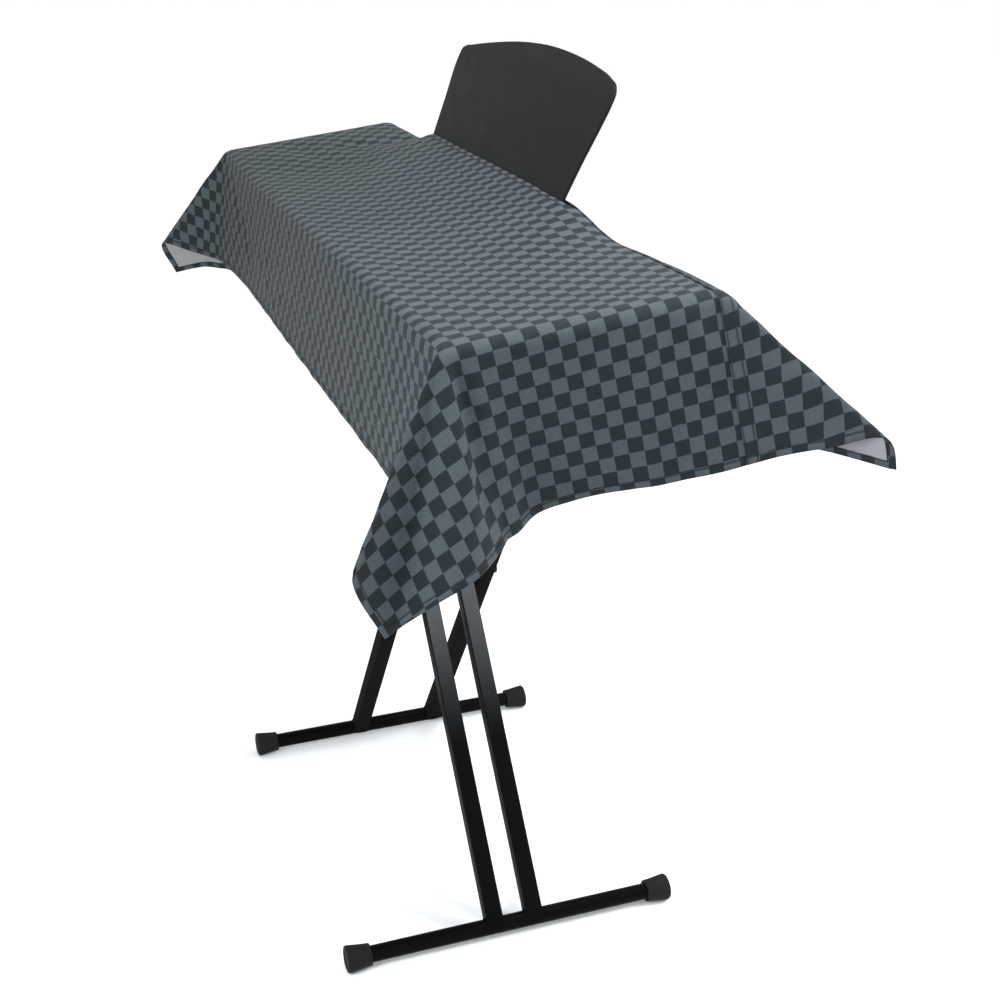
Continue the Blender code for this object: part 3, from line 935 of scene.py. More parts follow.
    def skirt_share(self, a: Array, b: Array) -> Array:
        """0 on top, rising to 1 over the skirt's first stretch, where it comes free of the case."""
        u = np.clip(np.abs(a) - self.length / 2, 0.0, None)
        v = np.clip(-b - self.depth / 2, 0.0, None) + np.clip(b - self.back_edge(a), 0.0, None)
        return ease(0.0, self.free_run, np.hypot(u, v))

    def corner_share(self, a: Array, b: Array) -> Array:
        """Share of the cloth's thickness, less at the tight turn round each corner of the top."""
        along = np.abs(a) - self.length / 2
        across = np.where(b > 0, b - self.back_edge(a), -b - self.depth / 2)
        return self.turn_thin + (1.0 - self.turn_thin) * ease(*self.turn_run, np.hypot(along, across))

    def lift(self, a: Array, b: Array) -> Array:
        """Height of creases and unevenness above the smooth form; the unevenness is less on top."""
        height = 0.0005 * ripple(a, b, 0.11, 3) + 0.00025 * ripple(a, b, 0.045, 8)
        height = height * (0.25 + 0.75 * self.skirt_share(a, b))
        for crease in self.creases:
            height = height + crease.lift(a, b)
        return height

    def surface(self, a: Array, b: Array, above: Array | float = 0.0) -> Array:
        """The creased cloth's upper face, or points this far above it.

        Args:
            a: Places along the cloth.
            b: Places across the cloth.
            above: Distance above the face, along the smooth form's normal.

        Returns:
            Points.
        """
        raised = np.asarray(self.lift(a, b) + above)
        return self.smooth_form(a, b) + self.smooth_normal(a, b) * raised[..., None]


# ---------------------------------------------------------------------------------------------------------
# the cover's two panels


@dataclass(frozen=True)
class Hem:
    """A double-folded hem: its width, the distance of its stitch line from the edge, and its relief."""

    width: float = 0.0112
    stitch: float = 0.0094
    stitch_half: float = 0.0017
    # painted shade in the stitch line's groove and along the rolled edge
    stitch_dark: float = 0.95
    edge_dark: float = 0.40
    thicker: float = 0.0007
    puff: float = 0.0003
    dimple: float = 0.0004
    rolled: float = 0.0006
    pucker: float = 0.00035

    def lines(self) -> Array:
        """Distances from the edge at which a grid line runs."""
        line, half = self.stitch, self.stitch_half
        return np.array([0.0, 0.0010, 0.0042, line - half, line, line + half, self.width + 0.0004,
                         self.width + 0.0030])

    def groove(self, edge: Array) -> Array:
        """Painted shade in the stitch line's groove and along the hem's very edge."""
        line = np.clip(1.0 - np.abs(edge - self.stitch) / self.stitch_half, 0.0, 1.0)
        return np.maximum(self.stitch_dark * line, self.edge_dark * (1.0 - ease(0.0, 0.001, edge)))

    def relief(self, edge: Array, a: Array, b: Array) -> Array:
        """Upper face near the edge: rolled edge, puffed strip, dimpled and puckered stitch line.

        Args:
            edge: Distance from the hemmed edge.
            a: Places along the cloth.
            b: Places across the cloth.

        Returns:
            Height in metres.
        """
        rolled = -self.rolled * (1.0 - ease(0.0, 0.0012, edge))
        strip = self.puff * ease(0.0, 0.002, edge) * (1.0 - ease(0.0075, self.stitch, edge))
        line = -self.dimple * np.exp(-(((edge - self.stitch) / 0.0011) ** 2))
        pucker = self.pucker * ripple(a, b, 0.016, 21) * np.exp(-(((edge - 0.010) / 0.009) ** 2))
        return rolled + strip + line + pucker

    def under(self, edge: Array) -> Array:
        """How much thicker the cloth is below, where the hem is folded under."""
        return self.thicker * (1.0 - ease(self.width - 0.0006, self.width + 0.0004, edge)) - 0.0005 * (
            1.0 - ease(0.0, 0.0012, edge))


@dataclass(frozen=True)
class Print:
    """Where the printed checks sit on the cloth: sizes, shift and slight skew off the cloth's own lines.

    Shifts, skews and the corner's shift are in checks.
    """

    check: float = 0.0197
    along: float = 0.0176
    across: float = 0.0205
    shift_i: float = 3.52
    shift_j: float = 1.36
    skew_i: float = 0.09
    skew_j: float = 0.02
    corner: float = 0.75

    def uv(self, a: Array, b: Array, drape: Drape) -> Array:
        """Print coordinates, whole checks at multiples of the check's size.

        Args:
            a: Places along the cloth.
            b: Places across the cloth.
            drape: The cloth, for its half length and half depth.

        Returns:
            u and v.
        """
        past = a - drape.length / 2
        p = np.clip(past, 0.0, None) / self.check + np.clip(past, None, 0.0) / self.along - self.shift_i
        q = (b + drape.depth / 2) / self.across - self.shift_j
        i = p + self.skew_i * (q + 1.5) * ease(-0.10, 0.0, past)
        j = q + self.skew_j * np.clip(past, 0.0, None) / self.check
        j = j + self.corner * ease(0.0, 0.08, -b - drape.depth / 2) * ease(-0.03, 0.02, past)
        return np.stack([i, j], axis=-1) * self.check


@dataclass
class Panel:
    """One panel of the cover as a thin closed sheet.

    Fine and coarse are the spacings of grid lines on the skirt and on top; the guesses are drops of the
    skirt that the number of its lines is worked out from. Where the turn round a corner leaves less than
    turn_back of the thickness, the lower face is dark too.
    """

    name: str
    drape: Drape
    hem: Hem
    print: Print
    thick: float = 0.0016
    fine: float = 0.0055
    coarse: float = 0.0090
    end_guess: float = 0.25
    front_guess: float = 0.235
    turn_back: float = 0.90
    rounds: int = 3

    def skirt(self, drop: Array, steps: int) -> Array:
        """Grid lines down a skirt: even shares of the drop, then the hem's own lines.

        Args:
            drop: Drop of the skirt at each place.
            steps: Number of even shares.

        Returns:
            Distances from the edge of the top, one row for each place.
        """
        hem = self.hem.lines()[::-1]
        even = np.linspace(0.0, 1.0, steps + 1)[1:-1] * (drop[..., None] - hem[0])
        return np.concatenate([even, drop[..., None] - hem], axis=-1)

    def along_lines(self, b: Array) -> Array:
        """Places along the cloth of every grid line, at these places across it."""
        drape = self.drape
        steps = max(6, round(self.end_guess / self.fine))
        half = drape.length / 2
        stops = [-half, drape.slit_left - drape.slit_end, drape.slit_left, drape.slit_right,
                 drape.slit_right + drape.slit_end, half]
        top = [np.array([-half])]
        for first, last in zip(stops[:-1], stops[1:]):
            count = max(4, round((last - first) / self.coarse))
            top.append(np.linspace(first, last, count + 1)[1:])
        middle = np.broadcast_to(np.concatenate(top), (len(b), sum(len(t) for t in top)))
        near = half + self.skirt(drape.near_drop(b), steps)
        far = -half - self.skirt(np.full(len(b), drape.far_drop), steps)[:, ::-1]
        return np.concatenate([far, middle, near], axis=1)

    def across_lines(self, a: Array) -> Array:
        """Places across the cloth of every grid line, at these places along it."""
        raise NotImplementedError

    def edge(self, a: Array, b: Array) -> Array:
        """Distance to the nearest hemmed edge."""
        drape = self.drape
        near = drape.length / 2 + drape.near_drop(b) - a
        far = a + drape.length / 2 + drape.far_drop
        return np.minimum(near, far)

    def sink(self, a: Array, b: Array) -> Array:
        """How far the panel lies below the cover's face."""
        return np.zeros_like(a)

    def groove(self, a: Array, b: Array, edge: Array) -> Array:
        """Painted shade of each place, in stitch grooves and along folded edges."""
        return self.hem.groove(edge)

    def flat_grid(self) -> tuple[Array, Array]:
        """Flat coordinates of the grid, rows along the cloth and columns across it.

        Lines across start where the lines along are, and the other way about, so both are worked out in
        turn until they agree.

        Returns:
            Places along and places across.
        """
        reach = self.drape.length / 2 + self.end_guess
        b = np.zeros((1, 1))
        a = np.linspace(-reach, reach, self.along_lines(b[0]).shape[1])[:, None]
        for _ in range(self.rounds):
            columns = range(self.across_lines(a[:, 0]).shape[1])
            b = np.stack([self.across_lines(a[:, min(k, a.shape[1] - 1)])[:, k] for k in columns], axis=1)
            a = np.stack([self.along_lines(row)[:, k] for k, row in enumerate(b)], axis=0)
        return a, b

    def build(self, face: bpy.types.Material, back: bpy.types.Material) -> bpy.types.Object:
        """Upper face, lower face one thickness below it, and the rim that closes them.

        Args:
            face: Material of the printed side.
            back: Material of the unprinted side.

        Returns:
            The panel.
        """
        a, b = self.flat_grid()
        rows, columns = a.shape
        edge = self.edge(a, b)
        sink = self.sink(a, b)
        upper = self.drape.surface(a, b, self.hem.relief(edge, a, b) - sink)
        full = self.drape.corner_share(a, b)
        thick = self.thick * full + self.hem.under(edge)
        lower = upper - unit(softened(self.drape.smooth_normal(a, b))) * thick[..., None]
        top = grid_faces(rows, columns)
        index = np.arange(rows * columns).reshape(rows, columns)
        rim = np.concatenate([index[:-1, 0], index[-1, :-1], index[1:, -1][::-1], index[0, 1:][::-1]])
        after = np.roll(rim, -1)
        count = rows * columns
        side = np.stack([after, rim, rim + count, after + count], axis=1)
        hemmed = edge.ravel()[top].mean(axis=1) < self.hem.width
        turned_in = full.ravel()[top].min(axis=1) < self.turn_back
        pale = (~(hemmed | turned_in)).astype(int)
        slots = np.concatenate([np.zeros(len(top), int), pale, np.zeros(len(side), int)])
        uv = self.print.uv(a, b, self.drape).reshape(-1, 2)
        # painted shade in stitch grooves and along folded edges, as a point attribute
        groove = self.groove(a, b, edge).ravel()
        self.flat_area = float(self.cell_areas(a, b).sum())
        self.flat_size = (float(np.ptp(b)), float(np.ptp(a)))
        return make_mesh(
            self.name,
            np.concatenate([upper.reshape(-1, 3), lower.reshape(-1, 3)]),
            np.concatenate([top, top[:, ::-1] + count, side]),
            [face, back], np.concatenate([uv, uv]), slots, np.concatenate([groove, groove]))

    @staticmethod
    def cell_areas(a: Array, b: Array) -> Array:
        """Flat area of each grid cell, half the cross product of its diagonals."""
        da1, db1 = a[1:, 1:] - a[:-1, :-1], b[1:, 1:] - b[:-1, :-1]
        da2, db2 = a[:-1, 1:] - a[1:, :-1], b[:-1, 1:] - b[1:, :-1]
        return np.abs(da1 * db2 - da2 * db1) / 2


@dataclass
class MainPanel(Panel):
    """From the front hem over the top to the seam, or to the slit's hem in front of the music rest."""

    slit_hem: float = 0.168
    seam_upper: float = 0.185
    seam_lower: float = 0.201
    lap_step: float = 0.0020

    def back_end(self, a: Array) -> Array:
        """Where the panel ends across the cloth."""
        return self.slit_hem + (self.seam_lower - self.slit_hem) * (1.0 - 0.98 * self.drape.slit_zone(a))

    def across_lines(self, a: Array) -> Array:
        """Front skirt, top, and the strip up to the seam or the slit."""
        half = self.drape.depth / 2
        steps = max(6, round(self.front_guess / self.fine))
        front = -half - self.skirt(self.drape.front_drop(a), steps)[:, ::-1]
        hem = self.hem.lines()[::-1]
        end = self.back_end(a)[:, None]
        count = round((self.slit_hem + half) / self.coarse)
        top = -half + np.linspace(0.0, 1.0, count + 1) * (end + half - hem[0])
        return np.concatenate([front, top, end - hem[1:]], axis=1)

    def edge(self, a: Array, b: Array) -> Array:
        """Distance to the nearest hemmed edge; the sewn parts of the back edge don't count."""
        front = b + self.drape.depth / 2 + self.drape.front_drop(a)
        slit = self.back_end(a) - b + 0.05 * (1.0 - self.drape.slit_zone(a))
        return np.minimum(np.minimum(super().edge(a, b), front), slit)

    def sink(self, a: Array, b: Array) -> Array:
        """Down under the back panel in the seam."""
        return self.lap_step * ease(self.seam_upper - 0.007, self.seam_upper - 0.001, b)


@dataclass
class BackPanel(Panel):
    """From the seam or slit, over the back edge and down to the back hem."""

    seam_upper: float = 0.185
    fold: float = 0.0008
    rows: tuple[float, float] = (0.0027, 0.0155)
    row_half: float = 0.0016
    seam_zone: float = 0.03

    def across_lines(self, a: Array) -> Array:
        """Lines from the seam to the back hem."""
        hem = self.hem.lines()[::-1]
        end = self.drape.depth / 2 + self.drape.back_drop
        seam = [self.seam_upper, self.seam_upper + self.fold]
        for row in self.rows:
            seam.extend(self.seam_upper + row + np.array([-self.row_half, 0.0, self.row_half]))
        steps = round((end - self.seam_upper) / self.fine)
        middle = np.linspace(seam[-1], end - hem[0], steps + 1)[1:-1]
        lines = np.concatenate([seam, middle, end - hem])
        return np.broadcast_to(lines, (len(a), len(lines)))

    def groove(self, a: Array, b: Array, edge: Array) -> Array:
        """Painted shade in the stitch lines of the hem and both rows of the seam, and under the seam's fold.
        """
        dark = super().groove(a, b, np.where(b < self.seam_upper + self.seam_zone, 1.0, edge))
        # painted shade under the seam's folded edge
        dark = np.maximum(dark, 0.6 * (b < self.seam_upper + self.fold / 2))
        for row in self.rows:
            off = np.abs(b - self.seam_upper - row)
            dark = np.maximum(dark, self.hem.stitch_dark * np.clip(1.0 - off / self.row_half, 0.0, 1.0))
        return dark

    def edge(self, a: Array, b: Array) -> Array:
        """Distance to the nearest folded edge."""
        back = self.drape.depth / 2 + self.drape.back_drop - b
        return np.minimum(np.minimum(super().edge(a, b), back), b - self.seam_upper)


@dataclass
class Stitching:
    """Rows of lockstitch as short capsules of thread lying in the cloth."""

    drape: Drape
    pitch: float = 0.0036
    stitch: float = 0.0029
    radius: float = 0.00042
    sunk: float = 0.0005
    tip: float = 0.45
    above: float = 0.0002
    sides: int = 4

    def capsules(self, a: Array, b: Array) -> tuple[Array, Array]:
        """Stitches along a line of the flat cloth.

        Each has four rings round a straight core, the end rings smaller and sunk in the cloth.

        Args:
            a: Places along the cloth of the line's points.
            b: Places across the cloth.

        Returns:
            Points, and faces numbered from 0.
        """
        run = np.concatenate([[0.0], np.hypot(np.diff(a), np.diff(b)).cumsum()])
        middles = np.arange(self.pitch / 2, run[-1], self.pitch)
        tips = np.array([1.0, 0.0, 0.0, 1.0])
        at = np.clip(middles[:, None] + np.array([-0.5, -0.25, 0.25, 0.5]) * self.stitch, 0.0, run[-1])
        flat_a, flat_b = np.interp(at, run, a), np.interp(at, run, b)
        normal = self.drape.smooth_normal(flat_a, flat_b)
        core = self.drape.surface(flat_a, flat_b, self.above - self.sunk * tips)
        forward = unit(core[:, -1:] - core[:, :1])
        sideways = unit(np.cross(normal, forward))
        angle = (np.arange(self.sides) + 0.5) / self.sides * math.tau
        radius = (self.radius * (1.0 - (1.0 - self.tip) * tips))[:, None, None]
        ring = np.cos(angle)[:, None] * sideways[:, :, None] + np.sin(angle)[:, None] * normal[:, :, None]
        points = core[:, :, None] + radius * ring
        size = len(tips) * self.sides
        first = np.arange(self.sides)
        caps = np.array([first, size - 1 - first])
        block = np.concatenate([grid_faces(len(tips), self.sides, wrap_columns=True), caps])
        shifts = np.arange(len(middles))[:, None, None] * size
        return points.reshape(-1, 3), (block[None] + shifts).reshape(-1, 4)

    def build(self, name: str, lines: list[tuple[Array, Array]],
              material: bpy.types.Material) -> bpy.types.Object:
        """One mesh of all the stitches along several lines.

        Args:
            name: Name of the piece.
            lines: Places along and places across of each line.
            material: The thread.

        Returns:
            The stitches.
        """
        points: list[Array] = []
        faces: list[Array] = []
        count = 0
        for a, b in lines:
            more, block = self.capsules(a, b)
            points.append(more)
            faces.append(block + count)
            count += len(more)
        sewn = make_mesh(name, np.concatenate(points), np.concatenate(faces), [material])
        flip_if_inside_out(sewn)
        return sewn


@dataclass
class Cover:
    """The whole cover: two panels and their stitching.

    The front's stitch line and those of the seam stop short of the far and the near end; the slit's runs
    past its ends.
    """

    drape: Drape = field(default_factory=Drape)
    hem: Hem = field(default_factory=Hem)
    front_short: tuple[float, float] = (0.009, 0.0167)
    seam_short: tuple[float, float] = (0.010, 0.010)
    past_slit: float = 0.004

    def build(self) -> None:
        fine, coarse = ((0.0052, 0.0085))
        pale = (0.23, 0.23, 0.245)
        face = Canvas("check_canvas", (0.049, 0.060, 0.067), (0.0105, 0.0145, 0.0170)).build()
        back = Canvas("canvas_back", pale, pale, printed=False).build()
        rear_print = Print(shift_i=3.8, shift_j=0.70)
        main = MainPanel("main_panel", self.drape, self.hem, Print(), fine=fine, coarse=coarse)
        rear = BackPanel("back_panel", self.drape, self.hem, rear_print, fine=fine, coarse=coarse)
        main_piece = show(main.build(face, back), "main_canvas", "cover_main")
        rear_piece = show(rear.build(face, back), "back_canvas", "cover_back")
        thread = Thread("sewing_thread", (0.012, 0.015, 0.018)).build()
        sewn_main = show(self.sew_main(main, thread), "main_canvas")
        sewn_back = show(self.sew_back(rear, thread), "back_canvas")

    def end_hems(self, first: float, last: float) -> list[tuple[Array, Array]]:
        """Stitch lines across the cloth, in the hems of its near and far end.

        Args:
            first: Where they start across the cloth.
            last: Where they end.

        Returns:
            The lines.
        """
        b = np.linspace(first, last, 160)
        near = self.drape.length / 2 + self.drape.near_drop(b) - self.hem.stitch
        far = np.full_like(b, -self.drape.length / 2 - self.drape.far_drop + self.hem.stitch)
        return [(near, b), (far, b)]

    def end_to_end(self, b: float, short: tuple[float, float]) -> Array:
        """Places along the cloth of a stitch line that lies about here across it.

        Args:
            b: Place across the cloth.
            short: How far from the far and the near end it stops.

        Returns:
            Places along the cloth.
        """
        half = self.drape.length / 2
        near = half + float(self.drape.near_drop(np.array(b)))
        return np.linspace(-half - self.drape.far_drop + short[0], near - short[1], 700)

    def sew_main(self, panel: MainPanel, thread: bpy.types.Material) -> bpy.types.Object:
        """Hems of the main panel: both ends, the front, and the front side of the slit."""
        drape, stitch = self.drape, self.hem.stitch
        start = -drape.depth / 2 - panel.front_guess
        a = self.end_to_end(start, self.front_short)
        slit = np.linspace(drape.slit_left - self.past_slit, drape.slit_right + self.past_slit, 260)
        lines = self.end_hems(start, panel.seam_upper)
        lines.append((a, -drape.depth / 2 - drape.front_drop(a) + stitch))
        lines.append((slit, panel.back_end(slit) - stitch))
        return Stitching(drape).build("main_stitches", lines, thread)

    def sew_back(self, panel: BackPanel, thread: bpy.types.Material) -> bpy.types.Object:
        """The seam's two rows, and the back panel's hems."""
        a = self.end_to_end(panel.seam_upper, self.seam_short)
        end = self.drape.depth / 2 + self.drape.back_drop - self.hem.stitch
        lines = [(a, np.full_like(a, b)) for b in (*(panel.seam_upper + row for row in panel.rows), end)]
        lines += self.end_hems(panel.seam_upper, end)
        return Stitching(self.drape).build("back_stitches", lines, thread)


# ---------------------------------------------------------------------------------------------------------
# the piano and its rest


@dataclass
class MusicRest:
    """Upright board with an arched top and rounded corners."""

    base_y: float = 0.130
    base_z: float = 1.140
    lean: float = math.radians(22.0)
    thick: float = 0.0050
    round: float = 0.0012
    outline: tuple[tuple[float, float], ...] = (
        (0.2000, 0.036), (0.2133, 0.091), (0.2295, 0.146), (0.2368, 0.178), (0.2370, 0.194),
        (0.2290, 0.2045), (0.2040, 0.2130), (0.1400, 0.2232), (0.0500, 0.2308), (-0.0270, 0.2330),
        (-0.1580, 0.2275), (-0.2900, 0.2130), (-0.3960, 0.1975), (-0.4260, 0.1925), (-0.4390, 0.1865),
        (-0.4428, 0.1760), (-0.4390, 0.091), (-0.4345, 0.020))
    foot_x: tuple[float, float] = (-0.433, 0.194)
    foot_z: float = -0.018

    def edge_line(self) -> Array:
        """Closed outline: a curve through the table spaced evenly, and straight sides down to the foot."""
        rows = np.array(self.outline)
        run = np.concatenate([[0.0], np.hypot(*np.diff(rows, axis=0).T).cumsum()])
        arch = through(run, rows, np.linspace(0.0, run[-1], 240))
        foot = np.array([(x, self.foot_z) for x in self.foot_x])
        return np.vstack([foot, arch])

    def build(self) -> bpy.types.Object:
        """Rings of the outline, in by r(1 - sin t) and back by r(1 - cos t) at each face, capped flat."""
        line = self.edge_line()
        before, after = np.roll(line, 1, axis=0), np.roll(line, -1, axis=0)
        tangent = unit(unit(line - before) + unit(after - line))
        inward = np.column_stack([-tangent[:, 1], tangent[:, 0]])
        angle = np.linspace(0.0, math.pi / 2, 5)
        inset = self.round * (1.0 - np.sin(angle))
        depth = self.round * (1.0 - np.cos(angle))
        rings = [(inset[k], depth[k]) for k in range(5)]
        rings += [(inset[k], self.thick - depth[k]) for k in range(4, -1, -1)]
        up = np.array([0.0, math.sin(self.lean), math.cos(self.lean)])
        back = np.array([0.0, math.cos(self.lean), -math.sin(self.lean)])
        base = np.array([0.0, self.base_y, self.base_z]) - ORIGIN
        right = np.array([1.0, 0.0, 0.0])
        stack = []
        for step_in, step_back in rings:
            flat = line + inward * step_in
            stack.append(base + flat[:, :1] * right + flat[:, 1:] * up + back * step_back)
        count = len(line)
        faces = grid_faces(len(rings), count, wrap_columns=True).tolist()
        faces.append(list(range(count)))
        faces.append(list(range((len(rings) - 1) * count, len(rings) * count))[::-1])
        finish = Moulded("rest_board_matt", (0.0105, 0.0108, 0.0112), 0.62, 1000.0, 0.00005, 0.12, 0.06)
        board = make_mesh("music_rest_board", np.concatenate(stack), faces, [finish.build()])
        flip_if_inside_out(board)
        keep_sharp(board, 50.0)
        return show(board, "rest_board", "music_rest")


@dataclass
class Piano:
    """The plain case, kept from the solids, and its music rest."""

    rest: MusicRest = field(default_factory=MusicRest)

    def build(self) -> None:
        """Give the case its moulded finish and build the rest."""
        case = Moulded("case_plastic", (0.022, 0.022, 0.024), 0.46, 1600.0, 0.00006, 0.3)
        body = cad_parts["piano_body"]
        body.data.materials.clear()
        body.data.materials.append(case.build())
        self.rest.build()


# ---------------------------------------------------------------------------------------------------------
# the stand


@dataclass
class Leg:
    """Square tube from a foot bar across the stand to the top bar on the other side."""

    name: str
    node: str
    foot_x: float
    y: float
    foot_z: float
    head_z: float
    bar_radius: float
    width: float = 0.028
    corner: float = 0.0035
    gap: float = 0.0003
    bead: float = 0.0017
    bead_out: float = 0.0006

    def section(self) -> Array:
        """Rounded square: four corners of eight points each."""
        angle = np.linspace(0.0, math.pi / 2, 8)
        reach = self.width / 2 - self.corner
        turns = np.concatenate([angle + k * math.pi / 2 for k in range(4)])
        centres = np.repeat(np.array([(1, 1), (-1, 1), (-1, -1), (1, -1)]) * reach, 8, axis=0)
        return centres + self.corner * np.column_stack([np.cos(turns), np.sin(turns)])

    def axes(self) -> tuple[Array, Array, Array, Array, float]:
        """Where the leg starts, its direction, the two directions square to it, and its length."""
        foot = np.array([self.foot_x, self.y, self.foot_z]) - ORIGIN
        head = np.array([-self.foot_x, self.y, self.head_z]) - ORIGIN
        along = unit(head - foot)
        across = np.array([along[2], 0.0, -along[0]])
        return foot, along, across, np.array([0.0, 1.0, 0.0]), float(np.linalg.norm(head - foot))

    def build(self, paint: bpy.types.Material) -> bpy.types.Object:
        """Carry the section along the axis; each end follows the bar, sqrt(R^2 - p^2) from its axis.

        Args:
            paint: The stand's paint.

        Returns:
            The leg.
        """
        foot, along, across, side, length = self.axes()
        section = self.section()
        cope = np.sqrt(np.clip((self.bar_radius + self.gap) ** 2 - section[:, 0] ** 2, 0.0, None))
        cope = cope + self.gap
        stations = np.linspace(0.0, 1.0, 13)[:, None]
        reach = cope + stations * (length - 2 * cope)
        flat = section[:, :1] * across + section[:, 1:] * side
        points = (foot + flat + reach[..., None] * along).reshape(-1, 3)
        rows, columns = reach.shape
        middle = self.bar_radius + self.gap * 2
        points = np.vstack([points, foot + along * middle, foot + along * (length - middle)])
        faces = grid_faces(rows, columns, wrap_columns=True)
        first = np.arange(columns)
        last = first + (rows - 1) * columns
        tail = rows * columns
        fans = [np.column_stack([first, np.roll(first, -1), np.full(columns, tail)]),
                np.column_stack([np.roll(last, -1), last, np.full(columns, tail + 1)])]
        leg = make_mesh(self.name, points, faces.tolist() + fans[0].tolist() + fans[1].tolist(), [paint])
        flip_if_inside_out(leg)
        keep_sharp(leg, 40.0)
        return show(leg, "stand_steel", self.node)

    def weld(self, paint: bpy.types.Material) -> bpy.types.Object:
        """Weld bead round the foot: a lumpy tube on the line where leg and bar meet.

        The line is a squircle, |cos t|^6 + |sin t|^6, laid on the bar sqrt(R^2 - p^2) from its axis.

        Args:
            paint: The stand's paint.

        Returns:
            The bead.
        """
        foot, along, across, side, _ = self.axes()
        t = np.arange(96) / 96 * math.tau
        squircle = (np.abs(np.cos(t)) ** 6 + np.abs(np.sin(t)) ** 6) ** (-1 / 6)
        half = self.width / 2
        p = np.clip(half * squircle * np.cos(t), -half, half)
        q = half * squircle * np.sin(t)
        reach = np.sqrt(np.clip(self.bar_radius**2 - p**2, 0.0, None))
        core = foot + p[:, None] * across + q[:, None] * side + (reach[:, None] + self.bead_out) * along
        outward = unit(np.cos(t)[:, None] * across + np.sin(t)[:, None] * side)
        lumps = self.bead * (1.0 + 0.28 * np.sin(24 * t + 0.8 * np.sin(3 * t)))
        s = np.arange(8) / 8 * math.tau
        ring = np.cos(s)[None, :, None] * outward[:, None] + np.sin(s)[None, :, None] * along
        points = core[:, None] + lumps[:, None, None] * ring
        bead = make_mesh(self.name + "_weld", points.reshape(-1, 3),
                         grid_faces(96, 8, wrap_rows=True, wrap_columns=True), [paint])
        flip_if_inside_out(bead)
        return show(bead, "stand_steel")


@dataclass
class Stand:
    """Double-braced folding stand: crossed legs, foot bars with rubber caps, top bars and a pivot bolt."""

    middle_y: float = 0.0
    chamfer: float = 0.0012
    legs_y: float = 0.005
    foot_x: float = 0.347
    foot_z: float = 0.0215
    top_z: float = 0.965
    tube: float = 0.0135
    near_pair: float = 0.034
    far_pair: float = 0.075
    foot_half: float = 0.238
    cap_length: float = 0.040
    cap_radius: float = 0.022
    top_half: float = 0.150

    def build(self) -> None:
        """Build every piece of the stand."""
        # the near legs' paint, with a painted highlight on their upper, upward-facing faces
        highlit_paint = Paint("stand_paint", (0.0036, 0.0038, 0.0041), painted_highlight_share=1.0).build()
        # a shaded copy of the stand's paint for the far legs, duller and less reflective, with a faint
        # painted highlight
        shaded_copy = Paint("stand_paint_shaded", (0.0070, 0.0070, 0.0064), 0.55, 0.02, painted_highlight_share=0.03).build()
        gloss = Paint("bar_paint", (0.0030, 0.0030, 0.0031), 0.22, 0.20).build()
        rubber = Moulded("cap_rubber_matt", (0.008, 0.008, 0.0083), 0.72, 700.0, 0.00012, 0.7, 0.12).build()
        for pair, foot_x, half, paint in (("near", self.foot_x, self.near_pair, highlit_paint),
                                          ("far", -self.foot_x, self.far_pair, shaded_copy)):
            self.build_bars(pair, foot_x, gloss)
            for place, sign in (("front", -1.0), ("back", 1.0)):
                leg = Leg(f"{pair}_leg_{place}", f"leg_{pair}_{place}", foot_x, self.legs_y + sign * half,
                          self.foot_z, self.top_z, self.tube)
                leg.build(paint)
                leg.weld(paint)
                self.build_cap(pair, place, foot_x, sign, rubber)
        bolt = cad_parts["pivot_bolt"]
        bolt.data.materials.clear()
        bolt.data.materials.append(Plated("bolt_black", (0.02, 0.02, 0.02)).build())

    def build_bars(self, pair: str, foot_x: float, paint: bpy.types.Material) -> None:
        """Foot bar and top bar of one pair of legs."""
        for name, node, half, x, z in (
                ("foot_tube", "foot_bar", self.foot_half, foot_x, self.foot_z),
                ("top_tube", "top_bar", self.top_half, -foot_x, self.top_z)):
            ring, inner = self.tube - self.chamfer, half - self.chamfer
            profile = np.array([(-half, ring), (-inner, self.tube), (inner, self.tube), (half, ring)])
            centre = np.array([x, self.middle_y, z]) - ORIGIN
            bar = turned(f"{name}_{pair}", profile, centre, 48, paint)
            show(bar, "bar_steel", f"{node}_{pair}")

    def build_cap(self, pair: str, place: str, foot_x: float, sign: float,
                  rubber: bpy.types.Material) -> None:
        """Flared rubber cap on one end of a foot bar, flat where it stands."""
        r, length = self.cap_radius, self.cap_length
        end = length - 0.0012
        profile = np.array([
            (0.0, self.tube + 0.0004), (0.0, r - 0.0048), (0.0008, r - 0.0040), (0.010, r - 0.0034),
            (0.020, r - 0.0022), (0.030, r - 0.0008), (length - 0.004, r - 0.0001),
            (length - 0.002, r - 0.0004), (length - 0.0006, r - 0.0016), (length, r - 0.0036),
            (length, r - 0.0080), (end, r - 0.0092), (end, 0.002)])
        profile[:, 0] *= sign
        centre = np.array([foot_x, self.middle_y + sign * (self.foot_half + 0.0003), self.foot_z]) - ORIGIN
        cap = turned(f"rubber_cap_{pair}_{place}", profile, centre, 64, rubber, floor=True)
        show(cap, "cap_rubber", f"foot_cap_{pair}_{place}")


# ---------------------------------------------------------------------------------------------------------
# studio


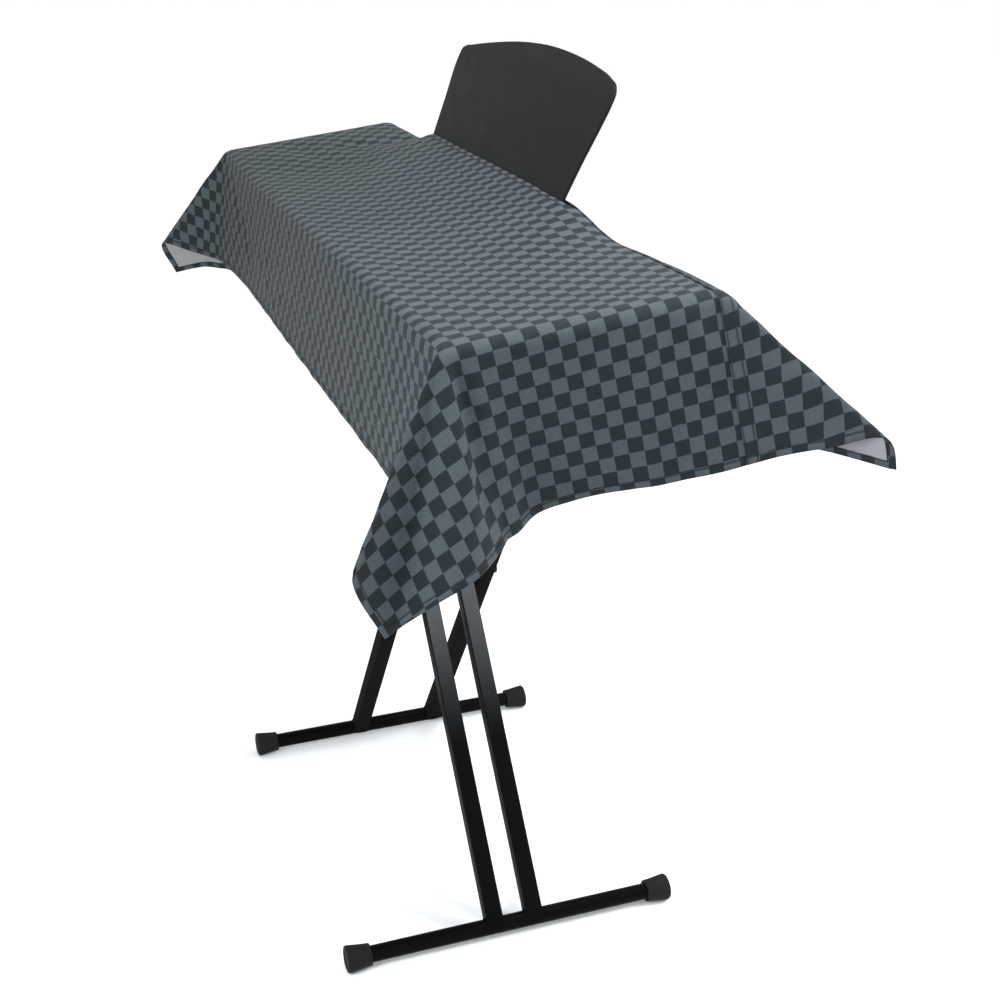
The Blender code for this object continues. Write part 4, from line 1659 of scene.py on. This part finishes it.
@dataclass
class Studio:
    """Pale floor, soft light and the camera."""

    lens: float = 56.98
    eye: tuple[float, float, float] = (2.3682, -0.7191, 1.6425)
    seen: tuple[float, float, float] = (-0.32, 0.22976, 0.47011)
    roll: float = math.radians(-0.504)
    floor_half: float = 40.0
    floor_z: float = -0.0004
    sky: float = 1.04
    # name, place, aimed at, width, power, colour
    lamps: tuple[tuple[str, tuple, tuple, float, float, Colour], ...] = (
        ("key", (0.55, 0.25, 2.7), (0.50, 0.1, 1.0), 1.0, 52.0, (0.94, 0.98, 1.0)),
        ("side", (1.2, 1.8, 1.9), (0.74, 0.2, 1.0), 0.8, 38.0, (0.84, 0.94, 1.0)),
        ("low", (1.15, -1.35, 1.35), (0.74, -0.28, 0.92), 0.6, 19.0, (0.86, 0.95, 1.0)),
    )

    def build(self) -> None:
        """Set up floor, world, lamps and camera."""
        turns = np.array([(-1, -1, 0), (1, -1, 0), (1, 1, 0), (-1, 1, 0)]) * self.floor_half
        corners = turns + np.array([0.0, 0.0, self.floor_z])
        floor = make_mesh("studio_ground", corners, [[0, 1, 2, 3]], [Ground().build()])
        world = bpy.data.worlds.new("studio_sky")
        world.use_nodes = True
        sky = world.node_tree.nodes["Background"]
        sky.inputs[0].default_value = (1.0, 1.0, 1.0, 1.0)
        sky.inputs[1].default_value = self.sky
        scene = bpy.context.scene
        scene.world = world
        scene.view_settings.view_transform = "Standard"
        scene.view_settings.look = "None"
        for name, place, target, width, power, colour in self.lamps:
            lamp = bpy.data.lights.new(name, "AREA")
            lamp.shape = "DISK"
            lamp.size = width
            lamp.energy = power
            lamp.color = colour
            item = bpy.data.objects.new(name, lamp)
            scene.collection.objects.link(item)
            item.matrix_world = self.looking(place, target)
        camera = bpy.data.cameras.new("camera")
        camera.lens = self.lens
        camera.clip_start, camera.clip_end = 0.05, 200.0
        item = bpy.data.objects.new("camera", camera)
        scene.collection.objects.link(item)
        item.matrix_world = self.looking(self.eye, self.seen, self.roll)
        scene.camera = item

    @staticmethod
    def looking(place: tuple, target: tuple, roll: float = 0.0) -> Matrix:
        """Matrix of a lamp or camera at a place that looks at a target, turned about its view by roll."""
        turn = (Vector(place) - Vector(target)).to_track_quat("Z", "Y").to_matrix().to_4x4()
        return Matrix.Translation(place) @ turn @ Matrix.Rotation(roll, 4, "Z")


def main() -> None:
    """Build everything in order."""
    logging.basicConfig(level=logging.INFO, format="%(message)s")
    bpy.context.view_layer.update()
    Studio().build()
    Cover().build()
    Piano().build()
    Stand().build()
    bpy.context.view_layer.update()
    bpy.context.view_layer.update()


if __name__ == "__main__":
    main()
